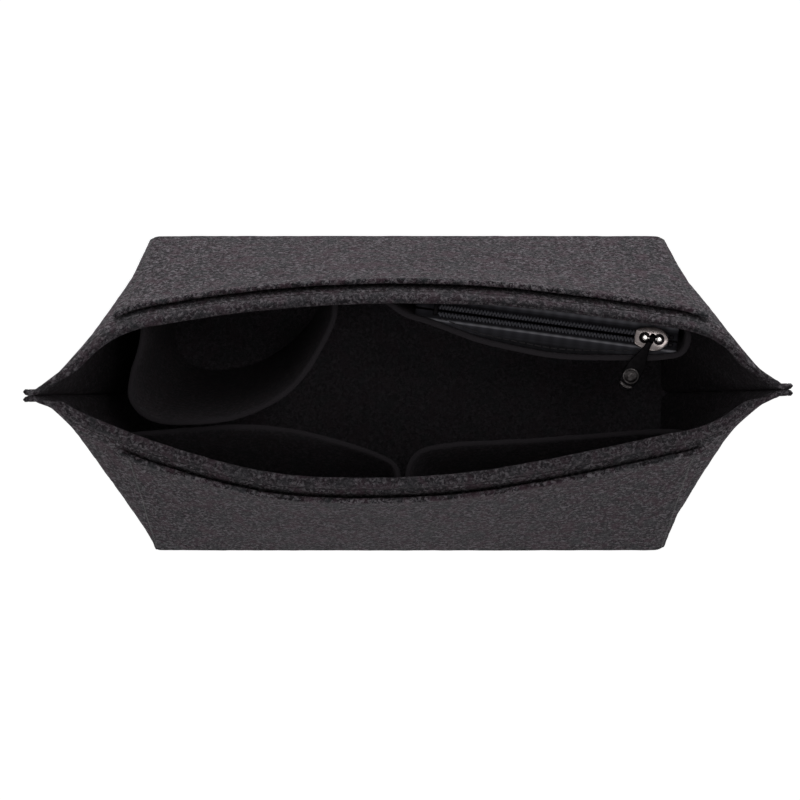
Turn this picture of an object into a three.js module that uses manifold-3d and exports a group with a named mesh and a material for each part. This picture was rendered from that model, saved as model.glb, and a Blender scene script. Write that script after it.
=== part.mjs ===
// A felt organizer that stands inside a handbag: a flat base, a front and a rear wall that lean
// together towards the rim and meet in two pinched side seams, an outer pocket on each wall, a
// round bottle pocket, two open pockets and a pocket closed by a coil zipper inside.
//
// Millimetres. +Z is up, X runs along the organizer, the front faces -Y, and the origin is the
// middle of the base's underside.

import * as THREE from "three";
import { mergeVertices } from "three/addons/utils/BufferGeometryUtils.js";
import Module from "manifold-3d";

const wasm = await Module();
wasm.setup();

// Shell: the outer faces of the walls at the base and at the rim
const baseLength = 227.6;
const baseDepth = 139.8;
const wallCutHeight = 165;
const rimSeamX = 149.5;
const rimCornerX = 119;
const rearRimDepth = 41.2;
const frontRimDepth = 39.2;
const seamLeanLeft = -1.3;
const seamLeanRight = 1.2;
const baseCornerReach = 5;
const rimCornerReach = 14;
const wingReachShare = 0.35;
const seamBendReach = 2.6;

// The rim of the limp felt is bowed unevenly: its distance from the middle at equal steps from
// left to right, as shares of the wall's rim depth, and the two corners at the ends, as shares
// of the corner's X and of the rim depth
const rearRimShares = [0.765, 0.868, 0.941, 0.985, 1, 0.967, 0.905, 0.828, 0.737];
const rearCornerShares = { left: [1.004, 0.697], right: [1.035, 0.682] };
const frontRimShares = [0.612, 0.815, 0.95, 0.997, 0.997, 0.943, 0.833, 0.695, 0.545];
const frontCornerShares = { left: [1.095, 0.365], right: [1.016, 0.495] };

// Felt
const feltThickness = 2.2;
const baseThickness = 3.2;
const hemThickness = 4.8;
const hemDepth = 10;
const hemStepHeight = 0.8;
const seamAllowance = 4.6;
const plyGap = 0.3;
const sewnGap = 0.5;

// Outer pockets
const outerPocketDrop = 7;
const outerPocketMouth = 1.8;
const rearPocketEndStations = [-1.5, 1.5];
const frontPocketEndStations = [-1.25, 1.5];

// Bottle pocket
const bottlePocketHeight = 132;
const bottlePocketStartStation = -0.28;
const bottlePocketEndStation = -1.07;

// Open pockets on the front wall
const frontPocketHeight = 127;
const frontPocketFloor = 42;
const frontPocketEndStation = 2.5;
const pinchX = -1.95;
const pinchGap = 0.5;

// Zipped pocket on the rear wall
const zipPocketFloor = 48;
const zipPocketStartShare = -0.1235;
const zipPocketEndStation = 1.34;
const zipPocketLip = 1;

// Sewn flanges, as lengths along the wall
const flangeLength = 6;

// Zipper: the slider's closed place and a place down the chain, as shares of the rim's half
// width and half depth
const zipDrop = 19;
const zipClosedShares = [0.827, 0.529];
const zipOpenShares = [0.1605, 0.786];
const tapeThickness = 0.7;
const tapeClosedReach = 10.6;
const tapeOpenOverrun = 16;
const chainGap = 1.6;
const coilWidth = 1.5;
const coilHeight = 1.3;
const stopLength = 1.8;
const stopHeight = 1.5;
const drawnTravel = 80;
const sliderTravel = 80;

// Slider
const sliderLength = 13.4;
const sliderWidth = 9.7;
const sliderTailWidth = 5.6;
const plateThickness = 1.1;
const plateBevel = 0.25;
const plateClearance = 0.35;
const plateShoulderShare = 0.15;
const plateTailBendShare = 0.55;
const plateNoseBendShare = 0.7;
const guideThickness = 0.9;
const neckThickness = 0.7;
const neckLength = 4;
const runningGap = 0.3;
const crownPostSpacing = 5.8;
const crownPostWidth = 2.3;
const crownPostLength = 2.2;
const crownBarDiameter = 1.3;

// Pull
const eyeBore = 2.5;
const eyeWall = 0.7;
const eyeLength = 2.2;
const pullLength = 24.4;
const pullNeckWidth = 2.2;
const pullWidth = 7.4;
const pullThickness = 1.2;
const pullNeckEndShare = 0.3;
const pullFlareShare = 0.38;
const pullBroadShare = 0.62;
const pullEndBendShare = 0.9;
const pullEndWidthShare = 0.7;
const pullYaw = 17;
const pullDrop = 14;
const rivetDiameter = 6.6;
const rivetHeight = 1.3;
const lipWidth = 4.4;
const lipLength = 2.6;
const lipHeight = 1.1;
const lipMargin = 0.65;

// Places along a wall, as stations (see the plan outline below)
const hemPressStation = 2.4;
const wingEndStation = 3;
const tangentStep = 0.01;

// Numbers of steps
const stretchSteps = [8, 4, 6, 3, 1];
const plyRowShares = [0, 0.17, 0.34, 0.51, 0.68, 0.84, 1];
const hemArcAngles = [0, 35, 65, 82];
const stripSteps = 30;
const stripRows = 5;
const tapeSteps = 16;
const curveSteps = 10;

// Colours of the photographed materials
const shellFelt = { color: "#4f494e", roughness: 0.95, metalness: 0 };
const innerFelt = { color: "#1f1e22", roughness: 0.95, metalness: 0 };
const tapeCloth = { color: "#2b2a30", roughness: 0.85, metalness: 0 };
const coilNylon = { color: "#26262b", roughness: 0.45, metalness: 0 };
const nickel = { color: "#cfcac8", roughness: 0.22, metalness: 1 };
const gunmetal = { color: "#2e2c2e", roughness: 0.35, metalness: 1 };

const organizer = new THREE.Group();

function addPiece(parent, name, geometry, finish) {
  const mesh = new THREE.Mesh(geometry, new THREE.MeshStandardMaterial(finish));
  mesh.name = name;
  parent.add(mesh);
  return mesh;
}

function mix(a, b, share) {
  return a + (b - a) * share;
}

function mixPoint(a, b, share) {
  return new THREE.Vector2(mix(a.x, b.x, share), mix(a.y, b.y, share));
}

function bend(start, corner, end, share) {
  return mixPoint(mixPoint(start, corner, share), mixPoint(corner, end, share), share);
}

// A closed solid between two grids of points that have the same rows and columns.
function solidBetween(front, back) {
  const rows = front.length;
  const columns = front[0].length;
  const count = rows * columns;
  const positions = [...front.flat(), ...back.flat()].flatMap((p) => [p.x, p.y, p.z]);
  const index = [];
  const quad = (a, b, c, d) => index.push(a, b, c, a, c, d);
  const at = (row, column) => row * columns + column;
  for (let r = 0; r + 1 < rows; r++)
    for (let c = 0; c + 1 < columns; c++) {
      const [i, j, k, m] = [at(r, c), at(r, c + 1), at(r + 1, c + 1), at(r + 1, c)];
      quad(i, j, k, m);
      quad(k + count, j + count, i + count, m + count);
    }
  const edge = [];
  for (let c = 0; c + 1 < columns; c++) edge.push(at(0, c));
  for (let r = 0; r + 1 < rows; r++) edge.push(at(r, columns - 1));
  for (let c = columns - 1; c > 0; c--) edge.push(at(rows - 1, c));
  for (let r = rows - 1; r > 0; r--) edge.push(at(r, 0));
  edge.forEach((k, i) => {
    const next = edge[(i + 1) % edge.length];
    quad(next, k, k + count, next + count);
  });
  const geometry = new THREE.BufferGeometry();
  geometry.setAttribute("position", new THREE.Float32BufferAttribute(positions, 3));
  geometry.setIndex(index);
  return facingOut(geometry);
}

// A closed solid between two level outlines round the Z axis with the same number of points.
function solidBetweenOutlines(lower, upper) {
  const count = lower.length;
  const [lowerMiddle, upperMiddle] = [2 * count, 2 * count + 1];
  const index = [];
  lower.forEach((_, i) => {
    const next = (i + 1) % count;
    index.push(i, next, next + count, i, next + count, i + count);
    index.push(lowerMiddle, next, i, upperMiddle, i + count, next + count);
  });
  const middles = [lower, upper].map((loop) => new THREE.Vector3(0, 0, loop[0].z));
  const positions = [...lower, ...upper, ...middles].flatMap((p) => [p.x, p.y, p.z]);
  const geometry = new THREE.BufferGeometry();
  geometry.setAttribute("position", new THREE.Float32BufferAttribute(positions, 3));
  geometry.setIndex(index);
  return facingOut(geometry);
}

function enclosedVolume(geometry) {
  const position = geometry.getAttribute("position");
  const index = geometry.index.array;
  const [a, b, c] = [new THREE.Vector3(), new THREE.Vector3(), new THREE.Vector3()];
  let sum = 0;
  for (let i = 0; i < index.length; i += 3) {
    a.fromBufferAttribute(position, index[i]);
    b.fromBufferAttribute(position, index[i + 1]);
    c.fromBufferAttribute(position, index[i + 2]);
    sum += a.dot(b.cross(c));
  }
  return sum;
}

function facingOut(geometry) {
  if (enclosedVolume(geometry) < 0) geometry.setIndex([...geometry.index.array].reverse());
  geometry.computeVertexNormals();
  return geometry;
}

// Joins and cuts of closed geometries
function manifoldOf(geometry) {
  const bare = geometry.clone();
  Object.keys(bare.attributes)
    .filter((key) => key !== "position")
    .forEach((key) => bare.deleteAttribute(key));
  const merged = mergeVertices(bare);
  return new wasm.Manifold(
    new wasm.Mesh({
      numProp: 3,
      vertProperties: merged.getAttribute("position").array,
      triVerts: new Uint32Array(merged.index.array),
    }),
  );
}

function geometryOf(manifold) {
  const mesh = manifold.getMesh();
  const geometry = new THREE.BufferGeometry();
  geometry.setAttribute("position", new THREE.BufferAttribute(mesh.vertProperties, mesh.numProp));
  geometry.setIndex(new THREE.BufferAttribute(mesh.triVerts, 1));
  geometry.computeVertexNormals();
  return geometry;
}

function joined(geometries) {
  return geometryOf(geometries.map(manifoldOf).reduce((all, one) => all.add(one)));
}

// The plan outline of a wall's outer face runs in five stretches from the middle of the panel to
// each side: panel, corner, wing, bend into the side seam and seam allowance. A station is a
// number from -5 to 5 whose whole part names the stretch; stations left of the middle are
// negative.
function outline({ panelEndX, depths, corners, seamX, seamYs, cornerReach }) {
  const steps = depths.length - 1;
  const panel = new THREE.SplineCurve(
    depths.map((y, i) => new THREE.Vector2(mix(-panelEndX, panelEndX, i / steps), y)),
  );
  const halfOf = (side, corner, seamY) => {
    const panelEnd = panel.getPoint((1 + side) / 2);
    const seam = new THREE.Vector2(side * seamX, seamY);
    const wing = seam.clone().sub(corner);
    const along = wing.clone().normalize();
    const reach = Math.min(cornerReach, wing.length() * wingReachShare);
    const wingStart = corner.clone().addScaledVector(along, reach);
    const wingEnd = seam.clone().addScaledVector(along, -seamBendReach);
    const seamStart = new THREE.Vector2(side * (seamX + seamBendReach), seamY);
    const seamEnd = new THREE.Vector2(side * (seamX + seamAllowance), seamY);
    return [
      (share) => panel.getPoint((1 + side * share) / 2),
      (share) => bend(panelEnd, corner, wingStart, share),
      (share) => mixPoint(wingStart, wingEnd, share),
      (share) => bend(wingEnd, seam, seamStart, share),
      (share) => mixPoint(seamStart, seamEnd, share),
    ];
  };
  const left = halfOf(-1, corners.left, seamYs.left);
  const right = halfOf(1, corners.right, seamYs.right);
  return (station) => {
    const stretches = station < 0 ? left : right;
    const away = Math.abs(station);
    const stretch = Math.min(Math.floor(away), stretches.length - 1);
    return stretches[stretch](away - stretch);
  };
}

const wallBaseY = baseDepth / 2 - feltThickness - plyGap;
const halfSeam = plyGap / 2 + feltThickness;
const baseOutline = outline({
  panelEndX: baseLength / 2 - baseCornerReach,
  depths: rearRimShares.map(() => wallBaseY),
  corners: {
    left: new THREE.Vector2(-baseLength / 2, wallBaseY),
    right: new THREE.Vector2(baseLength / 2, wallBaseY),
  },
  seamX: baseLength / 2,
  seamYs: { left: halfSeam, right: halfSeam },
  cornerReach: baseCornerReach,
});

function makeWall(side, rimDepth, depthShares, cornerShares) {
  const cornerAt = ([x, y], end) => new THREE.Vector2(end * x * rimCornerX, y * rimDepth);
  const rim = outline({
    panelEndX: rimCornerX - rimCornerReach,
    depths: depthShares.map((share) => share * rimDepth),
    corners: { left: cornerAt(cornerShares.left, -1), right: cornerAt(cornerShares.right, 1) },
    seamX: rimSeamX,
    seamYs: { left: halfSeam + side * seamLeanLeft, right: halfSeam + side * seamLeanRight },
    cornerReach: rimCornerReach,
  });
  return { side, rim, rimDepth };
}

const rear = makeWall(1, rearRimDepth, rearRimShares, rearCornerShares);
const front = makeWall(-1, frontRimDepth, frontRimShares, frontCornerShares);

// The felt is cut to one height, so the rim sits lower at the side seams, which lean further.
function rimHeight(wall, station) {
  const heightOf = (at) => {
    const lean = wall.rim(at).distanceTo(baseOutline(at));
    return Math.sqrt(wallCutHeight ** 2 - lean ** 2);
  };
  const side = station < 0 ? -1 : 1;
  const away = THREE.MathUtils.smoothstep(Math.abs(station), 0, wingEndStation);
  return mix(heightOf(0), heightOf(side * wingEndStation), away);
}

// A point on the wall at a height, moved outwards from its outer face by an offset.
function wallPoint(wall, station, height, offset) {
  const share = height / rimHeight(wall, station);
  const section = (at) => mixPoint(baseOutline(at), wall.rim(at), share);
  const side = station < 0 ? -1 : 1;
  const startsStretch = Math.abs(station) % 1 < tangentStep;
  const away = section(station + tangentStep * side);
  const nearer = section(startsStretch ? station : station - tangentStep * side);
  const tangent = away.sub(nearer).multiplyScalar(side).normalize();
  const point = section(station);
  const x = point.x - tangent.y * offset;
  const y = point.y + tangent.x * offset;
  return new THREE.Vector3(x, wall.side * y, height);
}

function stationsBetween(first, last) {
  const stations = [first];
  const stretchStarts = stretchSteps.map((_, i) => i);
  const half = stretchStarts.flatMap((start) =>
    Array.from({ length: stretchSteps[start] }, (_, k) => start + k / stretchSteps[start]),
  );
  half.push(stretchSteps.length);
  const whole = [...half.slice(1).map((s) => -s), ...half].sort((a, b) => a - b);
  stations.push(...whole.filter((s) => s > first && s < last), last);
  return stations;
}

// Walls: one ply up to the hem, where the felt is turned in and stitched down. The turned edge
// is pressed down to a single ply towards the side seams.
function hemAt(station) {
  const pressed = THREE.MathUtils.smoothstep(Math.abs(station), hemPressStation, wingEndStation);
  return mix(hemThickness, feltThickness, pressed);
}

function plyHeight(wall, station, share) {
  return share * (rimHeight(wall, station) - hemDepth - hemStepHeight);
}

function wallRows() {
  const plain = plyRowShares.map((share) => (wall, station) => ({
    height: plyHeight(wall, station, share),
    outer: 0,
    inner: -feltThickness,
  }));
  const hemFoot = (wall, station) => ({
    height: rimHeight(wall, station) - hemDepth,
    outer: 0,
    inner: -hemAt(station),
  });
  const hemArc = hemArcAngles.map((degrees) => (wall, station) => {
    const radius = hemAt(station) / 2;
    const angle = THREE.MathUtils.degToRad(degrees);
    const inset = radius * (1 - Math.cos(angle));
    return {
      height: rimHeight(wall, station) - radius * (1 - Math.sin(angle)),
      outer: -inset,
      inner: inset - hemAt(station),
    };
  });
  return [...plain, hemFoot, ...hemArc];
}

function wallGeometry(wall) {
  const end = stretchSteps.length;
  const stations = stationsBetween(-end, end);
  const faceOf = (face) =>
    wallRows().map((row) =>
      stations.map((station) => {
        const at = row(wall, station);
        return wallPoint(wall, station, at.height, at[face]);
      }),
    );
  return solidBetween(faceOf("outer"), faceOf("inner"));
}

addPiece(organizer, "rear_wall", wallGeometry(rear), shellFelt);
addPiece(organizer, "front_wall", wallGeometry(front), shellFelt);

// Base: one thick ply between the feet of the walls
function basePanelGeometry() {
  const stations = stationsBetween(-wingEndStation, wingEndStation);
  const inset = -feltThickness - plyGap;
  const outlineAt = (height) => [
    ...stations.map((station) => wallPoint(front, station, height, inset)),
    ...stations.map((station) => wallPoint(rear, station, height, inset)).reverse(),
  ];
  return solidBetweenOutlines(outlineAt(0), outlineAt(baseThickness));
}

addPiece(organizer, "base_panel", basePanelGeometry(), shellFelt);

// Outer pockets: a second ply over each wall's panel, open along its top edge
function outerPocketGeometry(wall, [leftEnd, rightEnd]) {
  const stations = stationsBetween(leftEnd, rightEnd);
  const mouthHeight = (station) => rimHeight(wall, station) - outerPocketDrop;
  const rows = [...plyRowShares.map((share) => (s) => plyHeight(wall, s, share)), mouthHeight];
  const slack = (station, height) => {
    const across = Math.cos((Math.PI / 2) * (station / (station < 0 ? leftEnd : rightEnd)));
    return (outerPocketMouth - plyGap) * across * (height / mouthHeight(station)) ** 2;
  };
  const faceOf = (thickness) =>
    rows.map((row) =>
      stations.map((station) => {
        const height = row(station);
        const offset = plyGap + slack(station, height) + thickness;
        return wallPoint(wall, station, height, offset);
      }),
    );
  return solidBetween(faceOf(feltThickness), faceOf(0));
}

const rearOuterPocket = outerPocketGeometry(rear, rearPocketEndStations);
const frontOuterPocket = outerPocketGeometry(front, frontPocketEndStations);
addPiece(organizer, "rear_outer_pocket", rearOuterPocket, shellFelt);
addPiece(organizer, "front_outer_pocket", frontOuterPocket, shellFelt);

// Inner pockets: an upright strip of felt whose ends are sewn to a wall. Between its ends it
// stands off the wall by what its top path and its foot path say.
function strip({ wall, start, end, startFlange, endFlange, floor, top, topPath, footPath, ease }) {
  const middleOffset = -feltThickness - sewnGap - feltThickness / 2;
  const onWall = (station, height) => {
    const point = wallPoint(wall, station, height, middleOffset);
    return new THREE.Vector2(point.x, point.y);
  };
  const flangeShares = [1, 0.5, 0];
  const centreLine = (height, path) => {
    const points = [
      ...flangeShares.map((share) => onWall(start + share * startFlange, height)),
      ...path,
      ...flangeShares.map((share) => onWall(end + share * endFlange, height)).reverse(),
    ];
    const distinct = points.filter((p, i) => i === 0 || p.distanceTo(points[i - 1]) > plyGap);
    const curve = new THREE.CatmullRomCurve3(distinct.map((p) => new THREE.Vector3(p.x, p.y, 0)));
    return curve.getSpacedPoints(stripSteps).map((p) => new THREE.Vector2(p.x, p.y));
  };
  const first = start + startFlange;
  const last = end + endFlange;
  const wallLine = (height) =>
    Array.from({ length: stripSteps + 1 }, (_, i) => onWall(mix(first, last, i / stripSteps), height));
  const topLine = centreLine(top, topPath);
  const footLine = footPath ? centreLine(floor, footPath) : wallLine(floor);
  const wallTop = wallLine(top);
  const wallFoot = wallLine(floor);
  return (rowShare, offset) => {
    const height = mix(floor, top, rowShare);
    const carried = wallLine(height);
    const line = carried.map((point, i) => {
      const standTop = topLine[i].clone().sub(wallTop[i]);
      const standFoot = footLine[i].clone().sub(wallFoot[i]);
      return point.clone().add(mixPoint(standFoot, standTop, ease(rowShare)));
    });
    return line.map((point, i) => {
      const before = line[Math.max(i - 1, 0)];
      const after = line[Math.min(i + 1, stripSteps)];
      const tangent = after.clone().sub(before).normalize();
      return new THREE.Vector3(point.x - tangent.y * offset, point.y + tangent.x * offset, height);
    });
  };
}

function stripGeometry(shape) {
  const shares = Array.from({ length: stripRows + 1 }, (_, i) => i / stripRows);
  const faceOf = (offset) => shares.map((share) => shape(share, offset));
  return solidBetween(faceOf(feltThickness / 2), faceOf(-feltThickness / 2));
}

// Paths are shares of the rim's half width at the corners and of its half depth in the middle.
function pathFrom(shares, width, depth) {
  return shares.map(([x, y]) => new THREE.Vector2(x * width, y * depth));
}

const baseTop = baseThickness + plyGap;
const swell = (share) => Math.sin((Math.PI / 2) * share);
const straight = (share) => share;
const flangeStations = flangeLength / (rimCornerX - rimCornerReach);
const wingLength = front.rim(2).distanceTo(front.rim(wingEndStation));
const wingFlangeStations = flangeLength / wingLength;

const bottleTopShares = [
  [-0.252, 0.76], [-0.298, 0.46], [-0.366, 0.155], [-0.438, -0.04], [-0.577, -0.232],
  [-0.75, -0.298], [-0.885, -0.255], [-0.948, -0.08], [-0.945, 0.18], [-0.918, 0.43],
];
const bottleFootShares = [
  [-0.275, 0.78], [-0.32, 0.6], [-0.39, 0.42], [-0.465, 0.3], [-0.6, 0.175],
  [-0.75, 0.14], [-0.855, 0.19], [-0.905, 0.32], [-0.91, 0.49], [-0.9, 0.66],
];
const bottlePocket = strip({
  wall: rear,
  start: bottlePocketStartStation,
  end: bottlePocketEndStation,
  startFlange: flangeStations,
  endFlange: flangeStations,
  floor: baseTop,
  top: bottlePocketHeight,
  topPath: pathFrom(bottleTopShares, rimCornerX, rear.rimDepth),
  footPath: pathFrom(bottleFootShares, baseLength / 2, wallBaseY),
  ease: straight,
});
addPiece(organizer, "bottle_pocket", stripGeometry(bottlePocket), innerFelt);

const frontLeftShares = [
  [-1.0, -0.43], [-0.88, -0.415], [-0.735, -0.382], [-0.577, -0.352], [-0.404, -0.397],
  [-0.231, -0.525], [-0.105, -0.655], [-0.045, -0.765],
];
const frontRightShares = [
  [0.008, -0.745], [0.042, -0.622], [0.115, -0.56], [0.424, -0.5], [0.77, -0.42],
  [0.9, -0.4], [0.995, -0.42],
];
const pinchStation = (x) => x / (rimCornerX - rimCornerReach);
const pinchHalf = (feltThickness + pinchGap) / 2;
const frontLeftPocket = strip({
  wall: front,
  start: -frontPocketEndStation,
  end: pinchStation(pinchX - pinchHalf),
  startFlange: -wingFlangeStations,
  endFlange: 0,
  floor: frontPocketFloor,
  top: frontPocketHeight,
  topPath: pathFrom(frontLeftShares, rimCornerX, front.rimDepth),
  ease: swell,
});
const frontRightPocket = strip({
  wall: front,
  start: pinchStation(pinchX + pinchHalf),
  end: frontPocketEndStation,
  startFlange: 0,
  endFlange: wingFlangeStations,
  floor: frontPocketFloor,
  top: frontPocketHeight,
  topPath: pathFrom(frontRightShares, rimCornerX, front.rimDepth),
  ease: swell,
});
addPiece(organizer, "front_left_pocket", stripGeometry(frontLeftPocket), innerFelt);
addPiece(organizer, "front_right_pocket", stripGeometry(frontRightPocket), innerFelt);

const zipPocketShares = [
  [-0.078, 0.905], [-0.01, 0.77], [0.075, 0.69], [0.251, 0.505], [0.38, 0.42], [0.51, 0.355],
  [0.727, 0.338], [0.87, 0.345], [0.93, 0.385], [0.952, 0.49], [0.955, 0.63],
];
const zipHeight = wallCutHeight - zipDrop;
const zipClosedX = zipClosedShares[0] * rimCornerX;

// Left of the closed slider, the pocket is as long as the slider's travel needs.
function stretched(x) {
  return x < zipClosedX ? mix(zipClosedX, x, sliderTravel / drawnTravel) : x;
}

const zipPocketPath = pathFrom(zipPocketShares, rimCornerX, rear.rimDepth).map(
  (point) => new THREE.Vector2(stretched(point.x), point.y),
);
const zipPocket = strip({
  wall: rear,
  start: stretched(zipPocketStartShare * rimCornerX) / (rimCornerX - rimCornerReach),
  end: zipPocketEndStation,
  startFlange: -flangeStations,
  endFlange: 0,
  floor: zipPocketFloor,
  top: zipHeight + zipPocketLip,
  topPath: zipPocketPath,
  ease: swell,
});
addPiece(organizer, "zip_pocket_panel", stripGeometry(zipPocket), innerFelt);

// Zipper, in its own frame: X along the chain towards the closed end, Y towards the rear wall
const [zipClosedEnd, zipOpenEnd] = pathFrom(
  [zipClosedShares, zipOpenShares],
  rimCornerX,
  rear.rimDepth,
);
const zipper = new THREE.Group();
zipper.position.set(zipClosedEnd.x, zipClosedEnd.y, zipHeight);
zipper.rotation.z = zipClosedEnd.clone().sub(zipOpenEnd).angle();
organizer.add(zipper);
zipper.updateMatrixWorld(true);

function inZipperFrame(point) {
  return zipper.worldToLocal(point.clone());
}

// How far a line of points lies to the side of the chain, at a place along the chain.
function sideAt(line, along) {
  const local = line.map(inZipperFrame).sort((a, b) => a.x - b.x);
  const next = local.findIndex((point) => point.x >= along);
  const [a, b] = [local[Math.max(next - 1, 0)], local[Math.max(next, 0)]];
  return a === b ? a.y : mix(a.y, b.y, (along - a.x) / (b.x - a.x));
}

const tapeRowShare = (zipHeight - zipPocketFloor) / (zipHeight + zipPocketLip - zipPocketFloor);
const wallStations = stationsBetween(-wingEndStation, wingEndStation);
const rearWallLine = wallStations.map((station) =>
  wallPoint(rear, station, zipHeight, -feltThickness - plyGap),
);
const pocketLine = zipPocket(tapeRowShare, feltThickness / 2 + plyGap).filter(
  (point) => inZipperFrame(point).y < -chainGap,
);

function tapeGeometry(line, side) {
  const along = Array.from({ length: tapeSteps + 1 }, (_, i) =>
    mix(-sliderTravel - tapeOpenOverrun, tapeClosedReach, i / tapeSteps),
  );
  const faceOf = (height) => [
    along.map((x) => new THREE.Vector3(x, (side * chainGap) / 2, height)),
    along.map((x) => new THREE.Vector3(x, sideAt(line, x), height)),
  ];
  return solidBetween(faceOf(tapeThickness / 2), faceOf(-tapeThickness / 2));
}

addPiece(zipper, "zipper_tape_rear", tapeGeometry(rearWallLine, 1), tapeCloth);
addPiece(zipper, "zipper_tape_front", tapeGeometry(pocketLine, -1), tapeCloth);

// A bar with its lower end at the origin of Z
function barGeometry(length, width, height) {
  return new THREE.BoxGeometry(length, width, height).translate(0, 0, height / 2);
}

const tapeTop = tapeThickness / 2 + runningGap;
const chainEnd = sliderLength / 2;
const openStopX = -sliderTravel - sliderLength / 2 - runningGap - stopLength / 2;
const chainStart = openStopX + stopLength / 2 + runningGap;
const chainLength = chainEnd - chainStart;
const coilY = chainGap / 2 + coilWidth / 2;
const sides = { rear: 1, front: -1 };

for (const [name, side] of Object.entries(sides)) {
  const coil = barGeometry(chainLength, coilWidth, coilHeight);
  coil.translate((chainStart + chainEnd) / 2, side * coilY, tapeTop);
  addPiece(zipper, "zipper_coil_" + name, coil, coilNylon);

  const stop = barGeometry(stopLength, coilWidth, stopHeight);
  stop.translate(chainEnd + runningGap + stopLength / 2, side * coilY, tapeTop);
  addPiece(zipper, "top_stop_" + name, stop, nickel);
}

const bottomStop = barGeometry(stopLength, chainGap + 2 * coilWidth, stopHeight);
bottomStop.translate(openStopX, 0, tapeTop);
addPiece(zipper, "bottom_stop", bottomStop, nickel);

// Slider: two plates on a neck that runs between the coils, with guides along the plates' edges,
// and a crown of two posts and a bar on the upper plate
const lowerPlateTop = -tapeThickness / 2 - plateClearance - guideThickness;
const upperPlateFoot = tapeTop + coilHeight + plateClearance;
const upperPlateTop = upperPlateFoot + plateThickness;
const barHeight = upperPlateTop + eyeBore / 2 + eyeWall + runningGap;

function plateOutline(inset) {
  const halfLength = sliderLength / 2 - inset;
  const halfWidth = sliderWidth / 2 - inset;
  const tail = sliderTailWidth / 2 - inset;
  const shoulder = halfLength * plateShoulderShare;
  const tailBend = -halfLength * plateTailBendShare;
  const noseBend = halfLength * plateNoseBendShare;
  const shape = new THREE.Shape();
  shape.moveTo(-halfLength, -tail);
  shape.quadraticCurveTo(tailBend, -halfWidth, shoulder, -halfWidth);
  shape.quadraticCurveTo(noseBend, -halfWidth, halfLength, 0);
  shape.quadraticCurveTo(noseBend, halfWidth, shoulder, halfWidth);
  shape.quadraticCurveTo(tailBend, halfWidth, -halfLength, tail);
  shape.closePath();
  return shape;
}

function extruded(shape, height, bevel) {
  return new THREE.ExtrudeGeometry(shape, {
    depth: height - 2 * bevel,
    bevelEnabled: bevel > 0,
    bevelSize: bevel,
    bevelThickness: bevel,
    bevelSegments: 2,
    curveSegments: curveSteps,
  }).translate(0, 0, bevel);
}

function plateGeometry(foot) {
  return extruded(plateOutline(plateBevel), plateThickness, plateBevel).translate(0, 0, foot);
}

function guideGeometry(side, foot, height) {
  const width = sliderWidth / 2 - coilY - coilWidth / 2 - runningGap - plateBevel;
  const guide = barGeometry(sliderLength / 2, width, height);
  return guide.translate(0, side * (sliderWidth / 2 - plateBevel - width / 2), foot);
}

function crownGeometry() {
  const foot = upperPlateTop + runningGap;
  const height = barHeight + crownBarDiameter / 2 - foot;
  const radius = crownPostWidth / 2;
  const posts = [-1, 1].map((end) => {
    const post = new THREE.CylinderGeometry(radius, radius, height, 2 * curveSteps);
    post.rotateX(Math.PI / 2).scale(crownPostLength / crownPostWidth, 1, 1);
    return post.translate((end * crownPostSpacing) / 2, 0, foot + height / 2);
  });
  const bar = new THREE.CylinderGeometry(
    crownBarDiameter / 2,
    crownBarDiameter / 2,
    crownPostSpacing,
    curveSteps,
  );
  bar.rotateZ(Math.PI / 2).translate(0, 0, barHeight);
  return joined([...posts, bar]);
}

function sliderGeometry() {
  const overlap = plateThickness / 2;
  const neckFoot = lowerPlateTop - overlap;
  const neckHeight = upperPlateFoot + overlap - neckFoot;
  const neck = barGeometry(neckLength, neckThickness, neckHeight);
  neck.translate(sliderLength / 4, 0, neckFoot);
  const guides = Object.values(sides).flatMap((side) => [
    guideGeometry(side, lowerPlateTop - overlap, overlap + guideThickness),
    guideGeometry(side, tapeTop + runningGap, upperPlateFoot + overlap - tapeTop - runningGap),
  ]);
  const plates = [plateGeometry(lowerPlateTop - plateThickness), plateGeometry(upperPlateFoot)];
  return joined([...plates, neck, ...guides]);
}

addPiece(zipper, "slider_body", sliderGeometry(), nickel);
addPiece(zipper, "slider_crown", crownGeometry(), nickel);

// Pull: hangs on the crown's bar by a loose eye and lies down over the pocket's edge
const pull = new THREE.Group();
pull.position.set(0, 0, barHeight);
pull.rotation.order = "XZY";
pull.rotation.x = THREE.MathUtils.degToRad(pullDrop);
pull.rotation.z = -THREE.MathUtils.degToRad(pullYaw);
zipper.add(pull);

function eyeGeometry() {
  const outer = eyeBore / 2 + eyeWall;
  const shape = new THREE.Shape().absarc(0, 0, outer, 0, 2 * Math.PI);
  shape.holes.push(new THREE.Path().absarc(0, 0, eyeBore / 2, 0, 2 * Math.PI, true));
  const ring = new THREE.ExtrudeGeometry(shape, {
    depth: eyeLength,
    bevelEnabled: false,
    curveSegments: curveSteps,
  });
  return ring.translate(0, 0, -eyeLength / 2).rotateY(Math.PI / 2);
}

function pullPlateShape() {
  const root = eyeBore / 2 + eyeWall / 2;
  const neck = pullNeckWidth / 2;
  const half = pullWidth / 2;
  const endHalf = half * pullEndWidthShare;
  const neckEndY = -pullLength * pullNeckEndShare;
  const flareY = -pullLength * pullFlareShare;
  const broadY = -pullLength * pullBroadShare;
  const endBendY = -pullLength * pullEndBendShare;
  const shape = new THREE.Shape();
  shape.moveTo(-neck, -root);
  shape.lineTo(neck, -root);
  shape.bezierCurveTo(neck, neckEndY, half, flareY, half, broadY);
  shape.bezierCurveTo(half, endBendY, endHalf, -pullLength, 0, -pullLength);
  shape.bezierCurveTo(-endHalf, -pullLength, -half, endBendY, -half, broadY);
  shape.bezierCurveTo(-half, flareY, -neck, neckEndY, -neck, -root);
  return shape;
}

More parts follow.
